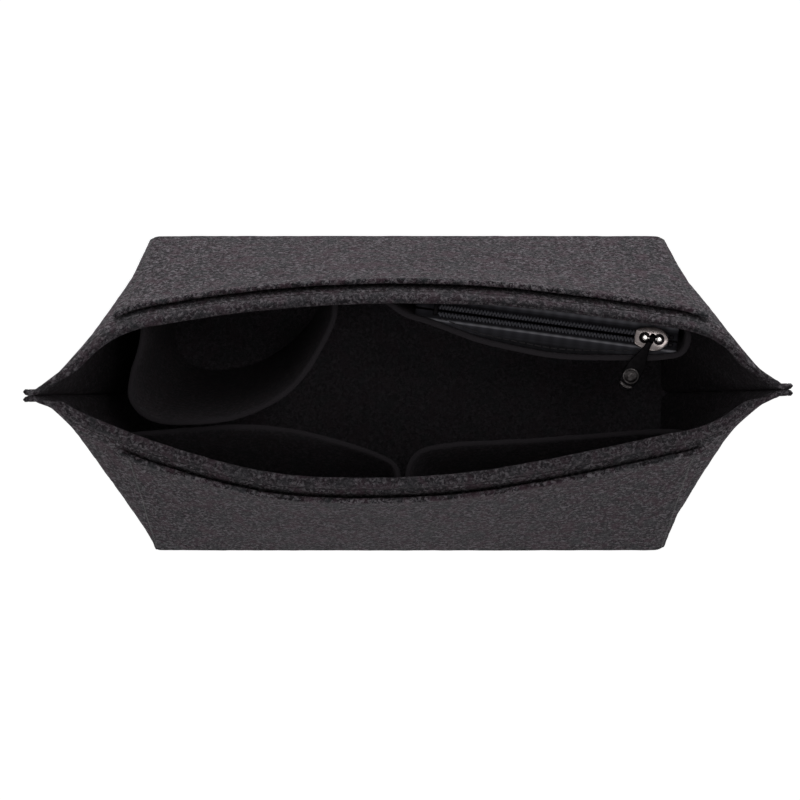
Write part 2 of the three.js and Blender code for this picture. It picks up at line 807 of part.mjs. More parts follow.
function pullGeometry() {
  const plate = extruded(pullPlateShape(), pullThickness, 0);
  plate.translate(0, 0, -pullThickness / 2);
  const lip = barGeometry(lipWidth, lipLength, pullThickness / 2 + lipHeight);
  lip.translate(0, lipMargin + lipLength / 2 - pullLength, 0);
  return joined([plate, eyeGeometry(), lip]);
}

addPiece(pull, "pull_tab", pullGeometry(), gunmetal);

// Domed rivet on the broad end of the pull
function rivetGeometry() {
  const radius = rivetDiameter / 2;
  const profile = Array.from({ length: curveSteps + 1 }, (_, i) => {
    const angle = (Math.PI / 2) * (1 - i / curveSteps);
    return new THREE.Vector2(radius * Math.cos(angle), rivetHeight * Math.sin(angle));
  });
  profile[0].x = 0;
  const outlinePoints = [new THREE.Vector2(0, 0), ...profile.reverse()];
  return new THREE.LatheGeometry(outlinePoints, 2 * curveSteps).rotateX(Math.PI / 2);
}

const rivetY = lipMargin + lipLength + runningGap + rivetDiameter / 2 - pullLength;
const rivet = rivetGeometry().translate(0, rivetY, pullThickness / 2 + runningGap);
addPiece(pull, "pull_rivet", rivet, nickel);

export default organizer;
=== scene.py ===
"""A felt organizer for a handbag, seen from straight above on a white table.

Sizes of the parts are in millimetres, as the felt was cut, and turn to metres where a mesh is
made. The camera, the table and the lights are placed in metres.
"""

import math

import bpy
import numpy as np
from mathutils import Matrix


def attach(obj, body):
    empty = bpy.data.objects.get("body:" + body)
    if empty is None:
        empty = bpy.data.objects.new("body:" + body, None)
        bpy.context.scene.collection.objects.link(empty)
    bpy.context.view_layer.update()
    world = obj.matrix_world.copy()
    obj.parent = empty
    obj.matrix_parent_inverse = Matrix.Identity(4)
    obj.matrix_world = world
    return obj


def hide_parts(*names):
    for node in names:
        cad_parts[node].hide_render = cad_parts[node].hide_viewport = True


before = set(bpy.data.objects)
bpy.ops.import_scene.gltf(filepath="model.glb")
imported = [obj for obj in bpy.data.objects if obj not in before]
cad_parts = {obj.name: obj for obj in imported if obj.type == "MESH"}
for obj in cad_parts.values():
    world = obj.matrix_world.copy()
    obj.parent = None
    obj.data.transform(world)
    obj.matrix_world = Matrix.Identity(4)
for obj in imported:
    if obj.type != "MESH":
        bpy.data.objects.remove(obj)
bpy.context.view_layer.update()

MM = 0.001

# Camera

CAMERA_HEIGHT = 1.663
CAMERA_LENS = 168.75
SENSOR_WIDTH = 36.0
CAMERA_X = -0.0032
CAMERA_Y = -0.0030

camera_data = bpy.data.cameras.new("camera")
camera_data.lens = CAMERA_LENS
camera_data.sensor_width = SENSOR_WIDTH
camera = bpy.data.objects.new("camera", camera_data)
camera.location = (CAMERA_X, CAMERA_Y, CAMERA_HEIGHT)
bpy.context.collection.objects.link(camera)
bpy.context.scene.camera = camera

# Sizes of the felt parts

BASE_LENGTH = 227.6
BASE_DEPTH = 139.8
WALL_CUT_HEIGHT = 165
RIM_SEAM_X = 149.5
RIM_CORNER_X = 119
REAR_RIM_DEPTH = 41.2
FRONT_RIM_DEPTH = 39.2
SEAM_LEAN = {-1: -1.3, 1: 1.2}
BASE_CORNER_REACH = 5
RIM_CORNER_REACH = 14
WING_REACH_SHARE = 0.35
SEAM_BEND = 2.6
FELT = 2.2
BASE_FELT = 3.2
HEM = 4.8
HEM_DEPTH = 10
SEAM_ALLOWANCE = 4.6
PLY_GAP = 0.3
SEWN_GAP = 0.5
POCKET_DROP = 7
POCKET_MOUTH = 1.8
REAR_POCKET_ENDS = (-1.5, 1.5)
FRONT_POCKET_ENDS = (-1.25, 1.5)
BOTTLE_TOP = 132
BOTTLE_START = -0.28
BOTTLE_END = -1.07
FRONT_TOP = 127
FRONT_FLOOR = 42
FRONT_END = 2.5
PINCH_X = -1.95
PINCH_GAP = 0.5
ZIP_FLOOR = 48
ZIP_START = -0.14
ZIP_END = 1.34
ZIP_LIP = 1
FLANGE = 6
ZIP_HEIGHT = 146
ZIP_CLOSED = (0.827, 0.529)
ZIP_OPEN = (0.1605, 0.786)
TAPE_CLOSED_REACH = 10.6
TAPE_OPEN_REACH = 96
CHAIN_GAP = 1.6
TAPE_WIDTH = 10.2
COIL_PITCH = 1.35
COIL_REACH = (0.45, 2.5)
FILAMENT = 0.3
HEM_PRESS_STATION = 2.4
WING_END = 3

# Stations on a wall run from -5 to 5, both ways from the middle: the panel ends at 1, the corner
# at 2, the wing at 3, the seam's bend at 4 and its allowance at 5
LAST_STATION = 5

# The uneven bow of the rim: depths at even steps from left to right, as shares of the rim's depth
# in the middle, and the two corners, as shares of the corner's X and of that depth
REAR_RIM_SHARES = [0.765, 0.868, 0.941, 0.985, 1, 0.967, 0.905, 0.828, 0.737]
REAR_CORNERS = {-1: (1.004, 0.697), 1: (1.035, 0.682)}
FRONT_RIM_SHARES = [0.612, 0.815, 0.95, 0.997, 0.997, 0.943, 0.833, 0.695, 0.545]
FRONT_CORNERS = {-1: (1.095, 0.365), 1: (1.016, 0.495)}

# How far the felt wanders from its true shape, over what length, over what share of the height
# it sets in and between which stations it fades
WANDER = 0.45
WANDER_LENGTH = 48
WANDER_RISE = 0.35
WANDER_FADE = (2.3, 3.2)
# Lumps of the surface, with finer ones of half their height on them
LUMP = 0.10
LUMP_LENGTH = 5.5
FINE_LUMP = 0.5
FINE_LUMP_LENGTH = LUMP_LENGTH / 2.3

GRID_STEP = 1.6
# The rounding of a cut edge, and the shares of it at which its rows lie
EDGE_RADIUS = 0.75
EDGE_SHARES = np.array([0, 0.06, 0.22, 0.5, 1.0])
# How much finer the grid is in the panel, the corner, the wing and the seam
STATION_FINENESS = [1.0, 1.4, 1.0, 3.6]


def mix(a, b, share):
    return a + (b - a) * share


def smoothstep(value, low, high):
    t = np.clip((value - low) / (high - low), 0, 1)
    return t * t * (3 - 2 * t)


def unit(vectors):
    return vectors / np.maximum(np.linalg.norm(vectors, axis=-1, keepdims=True), 1e-12)


def ridge(value, place, spread):
    """A smooth rise from 0 to 1 at a place and back."""
    return np.exp(-(((value - place) / spread) ** 2))


def hermite(b, c, start, end, t):
    """The cubic curve from b to c with the slopes start and end."""
    squared = (-3 * b + 3 * c - 2 * start - end) * t**2
    cubed = (2 * b - 2 * c + start + end) * t**3
    return b + start * t + squared + cubed


# Large numbers that scatter a cell's place and the seed, and how many values come out
CELL_FACTORS = (73856093, 19349663, 83492791)
SEED_FACTOR = 2654435761
MIX_FACTOR = 1274126177
RANDOM_VALUES = 100003


def lattice_noise(points, size, seed):
    """Smooth noise from -1 to 1 at points, with one random value for each cell of that size."""
    place = np.asarray(points, float) / size
    cell = np.floor(place).astype(np.int64)
    part = place - cell
    part = part * part * (3 - 2 * part)
    total = np.zeros(place.shape[:-1])
    for corner in np.ndindex(2, 2, 2):
        mixed = seed * SEED_FACTOR
        weight = np.ones(place.shape[:-1])
        for axis, factor in enumerate(CELL_FACTORS):
            mixed = mixed ^ ((cell[..., axis] + corner[axis]) * factor)
            weight = weight * (part[..., axis] if corner[axis] else 1 - part[..., axis])
        mixed = (mixed ^ (mixed >> 13)) * MIX_FACTOR & 0x7FFFFFFF
        value = (mixed % RANDOM_VALUES) / (RANDOM_VALUES / 2) - 1
        total += value * weight
    return total


# The leaning walls


def spline(points, place):
    """Places from 0 to 1 on the smooth curve through points at even steps."""
    last = len(points) - 1
    scaled = np.clip(place, 0, 1) * last
    k = np.minimum(np.floor(scaled).astype(int), last - 1)
    a, b, c, d = (points[np.clip(k + i, 0, last)] for i in (-1, 0, 1, 2))
    return hermite(b, c, (c - a) / 2, (d - b) / 2, (scaled - k)[..., None])


def outline(panel_end_x, depths, corners, seam_x, seam_ys, reach):
    """A wall's plan outline by stations from -5 to 5: panel, corner, wing, bend and allowance."""
    panel = np.column_stack([np.linspace(-panel_end_x, panel_end_x, len(depths)), depths])

    def half(side):
        panel_end = panel[-1] if side > 0 else panel[0]
        corner = np.array(corners[side], float)
        seam = np.array([side * seam_x, seam_ys[side]])
        along = unit(seam - corner)
        wing_start = corner + along * min(reach, np.linalg.norm(seam - corner) * WING_REACH_SHARE)
        wing_end = seam - along * SEAM_BEND
        seam_start = seam + [side * SEAM_BEND, 0]
        seam_end = seam + [side * SEAM_ALLOWANCE, 0]
        return lambda t: [
            spline(panel, (1 + side * t[..., 0]) / 2),
            mix(mix(panel_end, corner, t), mix(corner, wing_start, t), t),
            mix(wing_start, wing_end, t),
            mix(mix(wing_end, seam, t), mix(seam, seam_start, t), t),
            mix(seam_start, seam_end, t),
        ]

    left, right = half(-1), half(1)

    def at(station):
        station = np.asarray(station, float)
        away = np.abs(station)
        part = np.clip(np.floor(away), 0, LAST_STATION - 1)
        t = (away - part)[..., None]
        stretches = [part[..., None] == i for i in range(LAST_STATION)]
        return np.where(
            station[..., None] < 0, np.select(stretches, left(t)), np.select(stretches, right(t))
        )

    return at


WALL_BASE_Y = BASE_DEPTH / 2 - FELT - PLY_GAP
HALF_SEAM = PLY_GAP / 2 + FELT
base_outline = outline(
    BASE_LENGTH / 2 - BASE_CORNER_REACH,
    [WALL_BASE_Y] * len(REAR_RIM_SHARES),
    {side: (side * BASE_LENGTH / 2, WALL_BASE_Y) for side in (-1, 1)},
    BASE_LENGTH / 2,
    {-1: HALF_SEAM, 1: HALF_SEAM},
    BASE_CORNER_REACH,
)


def make_wall(side, rim_depth, depth_shares, corner_shares):
    rim = outline(
        RIM_CORNER_X - RIM_CORNER_REACH,
        np.array(depth_shares) * rim_depth,
        {end: (end * x * RIM_CORNER_X, y * rim_depth) for end, (x, y) in corner_shares.items()},
        RIM_SEAM_X,
        {end: HALF_SEAM + side * lean for end, lean in SEAM_LEAN.items()},
        RIM_CORNER_REACH,
    )

    def height_at(station):
        lean = np.linalg.norm(rim(station) - base_outline(station))
        return math.sqrt(WALL_CUT_HEIGHT**2 - lean**2)

    return {
        "side": side,
        "rim": rim,
        "middle_height": height_at(0.0),
        "seam_heights": {end: height_at(float(end * WING_END)) for end in (-1, 1)},
        "rim_depth": rim_depth,
    }


rear = make_wall(1, REAR_RIM_DEPTH, REAR_RIM_SHARES, REAR_CORNERS)
front = make_wall(-1, FRONT_RIM_DEPTH, FRONT_RIM_SHARES, FRONT_CORNERS)


def rim_height(wall, station):
    away = smoothstep(np.abs(station), 0, WING_END)
    ends = np.where(np.asarray(station) < 0, wall["seam_heights"][-1], wall["seam_heights"][1])
    return mix(wall["middle_height"], ends, away)


def wall_point(wall, station, height, offset):
    """Points on a wall, moved out from its outer face by an offset."""
    station, height, offset = np.broadcast_arrays(station, height, offset)
    share = (height / rim_height(wall, station))[..., None]

    def section(at):
        return mix(base_outline(at), wall["rim"](at), share)

    step = 0.01
    here = section(station)
    after = section(np.minimum(station + step, LAST_STATION))
    before = section(np.maximum(station - step, -LAST_STATION))
    tangent = unit(after - before)
    true = np.stack([here[..., 0], wall["side"] * here[..., 1], height], -1)
    fading = smoothstep(np.abs(station), *WANDER_FADE)
    loose = smoothstep(share[..., 0], 0, WANDER_RISE) * (1 - fading)
    offset = offset + WANDER * loose * lattice_noise(true, WANDER_LENGTH, seed=5)
    x = here[..., 0] - tangent[..., 1] * offset
    y = here[..., 1] + tangent[..., 0] * offset
    return np.stack([x, wall["side"] * y, height], -1)


def stations_between(first, last):
    """Stations that part the wall's length into even steps, finer in the corner and the seam."""
    s = np.linspace(0, LAST_STATION, 4001)
    middle = (base_outline(s) + rear["rim"](s)) / 2
    length = np.linalg.norm(np.diff(middle, axis=0), axis=1)
    finer = np.select([s[1:] <= end for end in (1, 2, 3)], STATION_FINENESS[:3], STATION_FINENESS[3])
    count = np.concatenate([[0], np.cumsum(length * finer / GRID_STEP)])

    def counted(station):
        return math.copysign(np.interp(abs(station), s, count), station)

    low, high = counted(first), counted(last)
    places = np.linspace(low, high, math.ceil(high - low) + 1)
    return np.sign(places) * np.interp(np.abs(places), count, s)


def rounded(distance, half, radius=EDGE_RADIUS):
    """Half the thickness of the felt at a distance from its cut edge, which is rounded."""
    d = np.clip(distance, 0, radius)
    return half - radius + np.sqrt(radius**2 - (radius - d) ** 2)


def graded(length, radius=EDGE_RADIUS):
    """Places from 0 to length in even steps, closer together at the two rounded ends."""
    low = radius * EDGE_SHARES
    high = length - radius * EDGE_SHARES[::-1]
    steps = math.ceil((high[0] - low[-1]) / GRID_STEP)
    return np.concatenate([low[:-1], np.linspace(low[-1], high[0], max(2, steps + 1)), high[1:]])


# Meshes


def link(name, mesh, materials=()):
    for material in materials:
        mesh.materials.append(material)
    made = bpy.data.objects.new(name, mesh)
    bpy.context.collection.objects.link(made)
    return made


def add_attribute(mesh, name, values):
    values = np.asarray(values, np.float32)
    kind, key = ("FLOAT", "value") if values.ndim == 1 else ("FLOAT_VECTOR", "vector")
    mesh.attributes.new(name, kind, "POINT").data.foreach_set(key, values.reshape(-1))


def mesh_from(name, vertices, faces):
    mesh = bpy.data.meshes.new(name)
    mesh.from_pydata([tuple(v) for v in vertices], [], [tuple(f) for f in faces])
    mesh.polygons.foreach_set("use_smooth", np.full(len(faces), True))
    mesh.update()
    return mesh


flat_sizes = {}


def row_lengths(grid):
    """How far each point of a grid lies along its row, measured on the surface."""
    steps = np.linalg.norm(np.diff(grid, axis=1), axis=-1)
    return np.concatenate([np.zeros((len(grid), 1)), np.cumsum(steps, axis=1)], axis=1)


def solid_between(name, outer, inner, material, across=None, cut=None, inside=None):
    """A closed sheet between two grids of points in millimetres, with a UV map in metres and, as
    attributes, how much painted shade each point takes near a cut edge, and how much of the flat
    tone it takes: painted shade inside the organizer and a calmer grain on the hem's top."""
    rows, columns = outer.shape[:2]
    count = rows * columns
    vertices = np.concatenate([outer.reshape(-1, 3), inner.reshape(-1, 3)]) * MM
    index = np.arange(count).reshape(rows, columns)
    a, b, c, d = index[:-1, :-1], index[:-1, 1:], index[1:, 1:], index[1:, :-1]
    outer_faces = np.stack([a, b, c, d], -1).reshape(-1, 4)
    inner_faces = np.stack([d, c, b, a], -1).reshape(-1, 4) + count
    ring = np.concatenate([index[0, :-1], index[:-1, -1], index[-1, :0:-1], index[:0:-1, 0]])
    following = np.roll(ring, -1)
    edge_faces = np.stack([following, ring, ring + count, following + count], -1)
    faces = np.concatenate([outer_faces, inner_faces, edge_faces])
    p = vertices[faces]
    volume = np.einsum("ij,ij->i", p[:, 0], np.cross(p[:, 1], p[:, 2])).sum()
    volume += np.einsum("ij,ij->i", p[:, 0], np.cross(p[:, 2], p[:, 3])).sum()
    if volume < 0:
        faces = faces[:, ::-1]
    mesh = mesh_from(name, vertices, faces)
    middle = (outer + inner) / 2
    u = row_lengths(middle)
    v = row_lengths(middle.swapaxes(0, 1)).T
    flat_sizes[name] = (u[:, -1].mean() * MM, v[-1].mean() * MM)
    if across is None:
        across = np.stack([u, v], -1)
    flat = np.concatenate([across.reshape(-1, 2)] * 2) * MM
    layer = mesh.uv_layers.new(name="cloth")
    layer.data.foreach_set("uv", flat[faces.reshape(-1)].astype(np.float32).reshape(-1))
    # Shares of painted shade: along the cut edges, and the flat tone inside the organizer
    cut_shade = np.zeros((rows, columns)) if cut is None else np.broadcast_to(cut, (rows, columns))
    add_attribute(mesh, "cut_edge_shade", np.concatenate([cut_shade.reshape(-1)] * 2))
    add_attribute(mesh, "inside", np.zeros(2 * count) if inside is None else inside.reshape(-1))
    return link(name, mesh, [material])


def lumpy(points, outward, seed):
    """Small lumps of the felt's surface along its outward direction."""
    lump = LUMP * lattice_noise(points, LUMP_LENGTH, seed)
    lump = lump + FINE_LUMP * LUMP * lattice_noise(points, FINE_LUMP_LENGTH, seed + 1)
    return points + outward * lump[..., None]


def grid_normals(grid):
    down = np.gradient(grid, axis=0)
    along = np.gradient(grid, axis=1)
    return unit(np.cross(along, down))


def felt_between(name, outer, inner, material, seed, cut=None, inside=None):
    outward = grid_normals((outer + inner) / 2)
    if (outward * (outer - inner)).sum() < 0:
        outward = -outward
    outer, inner = lumpy(outer, outward, seed), lumpy(inner, -outward, seed + 7)
    return solid_between(name, outer, inner, material, cut=cut, inside=inside)


# Node trees


def linear(hex_colour):
    """An sRGB hex colour as linear red, green, blue and alpha."""
    value = [int(hex_colour[i : i + 2], 16) / 255 for i in (1, 3, 5)]
    return (*(v / 12.92 if v <= 0.04045 else ((v + 0.055) / 1.055) ** 2.4 for v in value), 1.0)


def add_node(tree, kind, inputs=None, **settings):
    """Adds a node with its settings; inputs gives each socket a value or the socket it follows."""
    node = tree.nodes.new(kind)
    for key, value in settings.items():
        setattr(node, key, value)
    for key, value in (inputs or {}).items():
        if isinstance(value, bpy.types.NodeSocket):
            tree.links.new(value, node.inputs[key])
        else:
            node.inputs[key].default_value = value
    return node


def add_output(tree, kind, inputs=None, output=0, **settings):
    """Adds a node and gives one of its outputs."""
    return add_node(tree, kind, inputs, **settings).outputs[output]


def add_ramp(tree, factor, stops):
    """A colour ramp whose stops are (place, hex colour) pairs."""
    node = add_node(tree, "ShaderNodeValToRGB", {"Fac": factor})
    while len(node.color_ramp.elements) < len(stops):
        node.color_ramp.elements.new(0.5)
    for element, (place, colour) in zip(node.color_ramp.elements, stops):
        element.position = place
        element.color = linear(colour)
    return node.outputs["Color"]


def add_range(tree, value, low, high, least=0.0, most=1.0, **settings):
    """What runs from least to most while the value runs from low to high."""
    inputs = {"Value": value, "From Min": low, "From Max": high, "To Min": least, "To Max": most}
    return add_output(tree, "ShaderNodeMapRange", inputs, "Result", **settings)


def add_math(tree, operation, first, second=0.0):
    return add_output(tree, "ShaderNodeMath", {0: first, 1: second}, operation=operation)


def add_blend(tree, share, first, second):
    """A mix of two colours."""
    return add_output(tree, "ShaderNodeMix", {0: share, 6: first, 7: second}, 2, data_type="RGBA")


def object_place(tree):
    return add_output(tree, "ShaderNodeTexCoord", output="Object")


def add_noise(tree, place, size, detail=2.0, roughness=0.5, distortion=0.0):
    """Noise from 0 to 1 whose scale is set by a size in millimetres."""
    inputs = {
        "Vector": place,
        "Scale": 1 / (size * MM),
        "Detail": detail,
        "Roughness": roughness,
        "Distortion": distortion,
    }
    return add_output(tree, "ShaderNodeTexNoise", inputs, "Fac")


def add_bump(tree, shader, height, strength, depth):
    """Bumps on a shader, with their depth in millimetres."""
    inputs = {"Strength": strength, "Distance": depth * MM, "Height": height}
    tree.links.new(add_output(tree, "ShaderNodeBump", inputs, "Normal"), shader.inputs["Normal"])


def new_material(name, base, **shader):
    """A material with one Principled shader; returns it with its tree and the shader."""
    material = bpy.data.materials.new(name)
    material.use_nodes = True
    tree = material.node_tree
    tree.nodes.clear()
    principled = add_node(tree, "ShaderNodeBsdfPrincipled", {"Base Color": linear(base)})
    for key, value in shader.items():
        principled.inputs[key.replace("_", " ").title().replace("Ior", "IOR")].default_value = value
    add_node(tree, "ShaderNodeOutputMaterial", {"Surface": principled.outputs[0]})
    material.diffuse_color = linear(base)
    return material, tree, principled


def felt_material(name, dark, middle, light, warm, cool, shade_and_hem_tone, edge):
    """Needle-punched polyester and wool felt: matte, mottled from fibres of several greys, with a
    faint fuzz that catches light at the edges. Where the inside attribute is set it turns to a
    flatter tone: painted shade on the faces inside the organizer, and a calmer grain on the hem's
    top. Where the cut edge attribute is set it takes another grey, which is painted shade."""
    material, tree, shader = new_material(
        name, middle, roughness=0.96, sheen_weight=0.12, sheen_roughness=0.5, specular_ior_level=0.2
    )
    shader.inputs["Sheen Tint"].default_value = linear("#cfc6cc")
    # The fibres are drawn out along the height, which is how the felt comes off the roll
    drawn_out = add_output(
        tree, "ShaderNodeMapping", {"Vector": object_place(tree), "Scale": (1.4, 1.4, 0.74)}, "Vector"
    )
    # Heather: tufts of light and dark fibres 1 to 2 mm across
    tufts = add_noise(tree, drawn_out, 2.0, 4.0, 0.7, 0.6)
    # Single fibres are 0.03 mm, too fine to show, so they are drawn 0.4 mm wide
    fibres = add_noise(tree, drawn_out, 0.9, 2.0, 0.7, 1.8)
    # Pale wisps of one fibre that lie on the surface here and there
    wisps = add_noise(tree, drawn_out, 2.8, 4.0, 0.72, 2.2)
    # Patches where the carding left more warm or more cool fibre, about 10 mm across
    patches = add_noise(tree, drawn_out, 10, 3.0, 0.6, 0.8)
    blend = add_output(tree, "ShaderNodeMix", {0: 0.32, 2: tufts, 3: fibres}, data_type="FLOAT")
    greys = [(0.0, dark), (0.5, middle), (1.0, light)]
    colour = add_ramp(tree, add_range(tree, blend, 0.42, 0.58), greys)
    inside = add_output(tree, "ShaderNodeAttribute", output="Fac", attribute_name="inside")
    cut = add_output(tree, "ShaderNodeAttribute", output="Fac", attribute_name="cut_edge_shade")
    for share, tone in [
        (add_range(tree, patches, 0.5, 0.64, most=0.6), warm),
        (add_range(tree, patches, 0.5, 0.36, most=0.62), cool),
        (add_range(tree, wisps, 0.59, 0.73, most=0.48), light),
        # Painted shade: the faces inside the organizer take a flatter tone, and the hem's top part of it
        (add_range(tree, inside, 0.0, 1.0, most=0.75), shade_and_hem_tone),
        # The cut edges take a darker grey as painted shade
        (cut, edge),
    ]:
        colour = add_blend(tree, share, colour, linear(tone))
    tree.links.new(colour, shader.inputs["Base Color"])
    add_bump(tree, shader, add_math(tree, "ADD", fibres, tufts), 0.75, 0.45)
    return material


shell_felt = felt_material(
    "charcoal_heather_felt", "#161316", "#494348", "#aea8ae", "#624c57", "#4a4d50", "#454045", "#4b464a"
)
# Copies of the felt with their mottling flattened and narrowed in tone: painted shade for the strips and
# the base ply, which lie in deep shade inside
inner_felt = felt_material(
    "charcoal_heather_felt_shaded_inside",
    "#3b373b", "#4b464b", "#676267", "#4f454b", "#45464a", "#4b464b", "#423e42",
)
shaded_base_felt = felt_material(
    "charcoal_heather_felt_shaded_base",
    "#454145", "#575257", "#6d686d", "#5a5056", "#525356", "#575257", "#575257",
)

# Woven polyester tape with a slight silk shine and soft bands 5 mm long. Across it the colour is
# painted light and shade: the cord beside the coil, pale and brightened as a painted highlight,
# painted shade by the coils and along the front tape's outer edge, and a rear tape painted
# lighter where the rim's shade falls
tape_cloth, tape_tree, tape_shader = new_material(
    "woven_polyester_tape", "#3a393f", roughness=0.75, specular_ior_level=0.15
)
uv = add_output(tape_tree, "ShaderNodeUVMap", output="UV", uv_map="cloth")
bands = add_output(
    tape_tree,
    "ShaderNodeTexWave",
    {"Vector": uv, "Scale": 62.5, "Distortion": 0.5, "Detail": 1.0},
    "Fac",
    wave_type="BANDS",
    bands_direction="X",
)
# Painted light and shade by the distance from the middle of the chain in millimetres, the front
# tape below zero: painted shade by the coils and along the front tape's outer edge, a painted
# highlight on the cord, and a rear tape painted lighter against the shade under the rim
TAPE_REACH = 12
TAPE_PAINTED_SHADING = [
    (-12, "#201f22"), (-8.2, "#242327"), (-7.4, "#39383d"), (-5.4, "#424147"), (-4.6, "#504f56"),
    (-4.2, "#9c9ba2"), (-3.8, "#9c9ba2"), (-3.3, "#2e2d32"), (-2.5, "#26252a"), (0, "#3c3b41"),
    (2.5, "#2e2d32"), (3.3, "#29282d"), (4.3, "#55545b"), (5.2, "#8f8e96"), (12, "#7d7c84"),
]
tape_shading_stops = [((place + TAPE_REACH) / (2 * TAPE_REACH), colour) for place, colour in TAPE_PAINTED_SHADING]
across_tape = add_output(tape_tree, "ShaderNodeSeparateXYZ", {"Vector": uv}, "Y")
tape_place = add_range(tape_tree, across_tape, -TAPE_REACH * MM, TAPE_REACH * MM)
shaded = add_range(tape_tree, bands, 0.0, 1.0, 0.72, 1.0)
# The painted light and shade, dimmed along the woven bands
tape_shaded_colour = add_output(
    tape_tree,
    "ShaderNodeVectorMath",
    {0: add_ramp(tape_tree, tape_place, tape_shading_stops), "Scale": shaded},
    operation="SCALE",
)
tape_tree.links.new(tape_shaded_colour, tape_shader.inputs["Base Color"])
add_bump(tape_tree, tape_shader, bands, 0.5, 0.12)


def mottle(tree, shader, size, detail, stops):
    """Gives a shader the colours of a ramp along noise."""
    colour = add_ramp(tree, add_noise(tree, object_place(tree), size, detail), stops)
    tree.links.new(colour, shader.inputs["Base Color"])


# Polyester sewing thread, twisted from two plies
thread, thread_tree, thread_shader = new_material(
    "twisted_polyester_thread", "#2b282b", roughness=0.55, specular_ior_level=0.4, sheen_weight=0.15
)
mottle(thread_tree, thread_shader, 0.4, 1.0, [(0.3, "#1e1c1e"), (0.7, "#3a363a")])

# Nylon monofilament: extruded, so it is smooth and half glossy
nylon, nylon_tree, nylon_shader = new_material("nylon_monofilament", "#64646c", roughness=0.35)
mottle(nylon_tree, nylon_shader, 1.1, 2.0, [(0.35, "#5a5a61"), (0.65, "#75757e")])

# A dark ring of painted shade round each post's foot: its colour, its radius, how far its middle
# lies over the plate, and between which distances from it the metal turns bright again
POST_RING_SHADE = "#141213"
POST_SHADE_RADIUS = 1.72
POST_SHADE_LIFT = 0.3
POST_SHADE_FADE = (0.5, 0.68)


def metal_material(name, base, worn, rough_low, rough_high, shade_rings=()):
    """Plated zinc: cast, polished in a barrel and plated, so it is bright with a faint haze. Rings
    of painted shade darken it round the given places."""
    material, tree, shader = new_material(name, base, metallic=1.0, roughness=rough_low)
    place = object_place(tree)
    haze = add_noise(tree, place, 1.6, 4.0)
    colour = add_ramp(tree, haze, [(0.35, base), (0.75, worn)])
    # Painted shade: a dark ring round each given place
    for ring_place in shade_rings:
        middle = {0: place, 1: tuple(ring_place)}
        away = add_output(tree, "ShaderNodeVectorMath", middle, "Value", operation="DISTANCE")
        off_ring = add_math(tree, "SUBTRACT", away, POST_SHADE_RADIUS * MM)
        from_ring = add_math(tree, "ABSOLUTE", off_ring)
        dark = add_range(tree, from_ring, POST_SHADE_FADE[0] * MM, POST_SHADE_FADE[1] * MM, 1.0, 0.0)
        colour = add_blend(tree, dark, colour, linear(POST_RING_SHADE))
    tree.links.new(colour, shader.inputs["Base Color"])
    rough = add_range(tree, haze, 0.0, 1.0, rough_low, rough_high)
    tree.links.new(rough, shader.inputs["Roughness"])
    return material


nickel = metal_material("nickel_plated_zinc", "#e4dfdc", "#b9b1ae", 0.14, 0.26)
rivet_nickel = metal_material("brushed_nickel_rivet", "#7d7878", "#353232", 0.2, 0.4)
gunmetal = metal_material("gunmetal_plated_zinc", "#211f21", "#171617", 0.35, 0.55)

# Felt walls


def hem_thickness(station):
    pressed = smoothstep(np.abs(station), HEM_PRESS_STATION, WING_END)
    return mix(HEM, FELT, pressed)


# Rows of the hem, from below upwards: drop below the rim and share of the turned ply inside
HEM_ROWS = [
    (11.6, 0.0), (10.9, 0.0), (10.5, 0.02), (10.3, 0.2), (10.22, 0.55), (10.1, 0.82), (9.85, 0.95),
    (9.4, 1.0), (8.4, 1.0), (7.4, 1.0), (6.6, 1.0), (6.1, 1.0), (5.7, 1.0), (5.4, 1.0), (5.1, 1.0),
    (4.7, 1.0), (4.2, 1.0), (3.4, 1.0),
]
HEM_ARC = np.radians(np.array([0, 14, 28, 41, 54, 66, 76, 84]))
WALL_ROWS = 96
# The groove that the hem's stitches press: its drop, its depth, its spread and the stations
# between which it fades out inside
HEM_STITCH_DROP = 5.4
HEM_STITCH_DIP = 0.32
HEM_STITCH_SPREAD = 0.5
INNER_DIP_FADE = (2.8, 3.2)
# The side seam: the neck's station, spread and pinch, how far its fin splays, the rounding of
# its tip, and how far and between which stations the two walls close on each other
SEAM_NECK = 3.9
SEAM_NECK_SPREAD = 0.3
SEAM_NECK_PINCH = 0.5
SEAM_SPLAY = 0.5
SEAM_TIP_RADIUS = 0.6
SEAM_CLOSING = PLY_GAP / 2 + 0.06
SEAM_CLOSING_STATIONS = (3.1, 3.7)
# The hem's roll towards the opening, the stations and the drops between which it fades, the
# share of it inside, and the stations between which the rear wall's inside stops turning in
RIM_ROLL = 1.4
ROLL_FADE = (2.4, 3.2)
ROLL_DROPS = (2.0, 11.0)
INNER_ROLL = 0.57
REAR_ROLL_END = (0.0, 0.4)
# How much of the flat tone the hem has, and the drops between which the hem's tone fades
# and the painted shade of the inside sets in
HEM_TONE = 0.45
HEM_TONE_DROPS = (3, 8)
INNER_SHADE_DROPS = (5, 14)


def hem_roll(wall, station, drop):
    """How far the hem's outer and inner faces roll in towards the opening; the rear one turns in
    as a whole only at the left."""
    fading = smoothstep(np.abs(station), *ROLL_FADE)
    part = RIM_ROLL * (1 - fading) * (1 - smoothstep(drop, *ROLL_DROPS))
    at_left = 1 - smoothstep(station, *REAR_ROLL_END)
    return part, part * INNER_ROLL * (at_left if wall["side"] > 0 else 1)


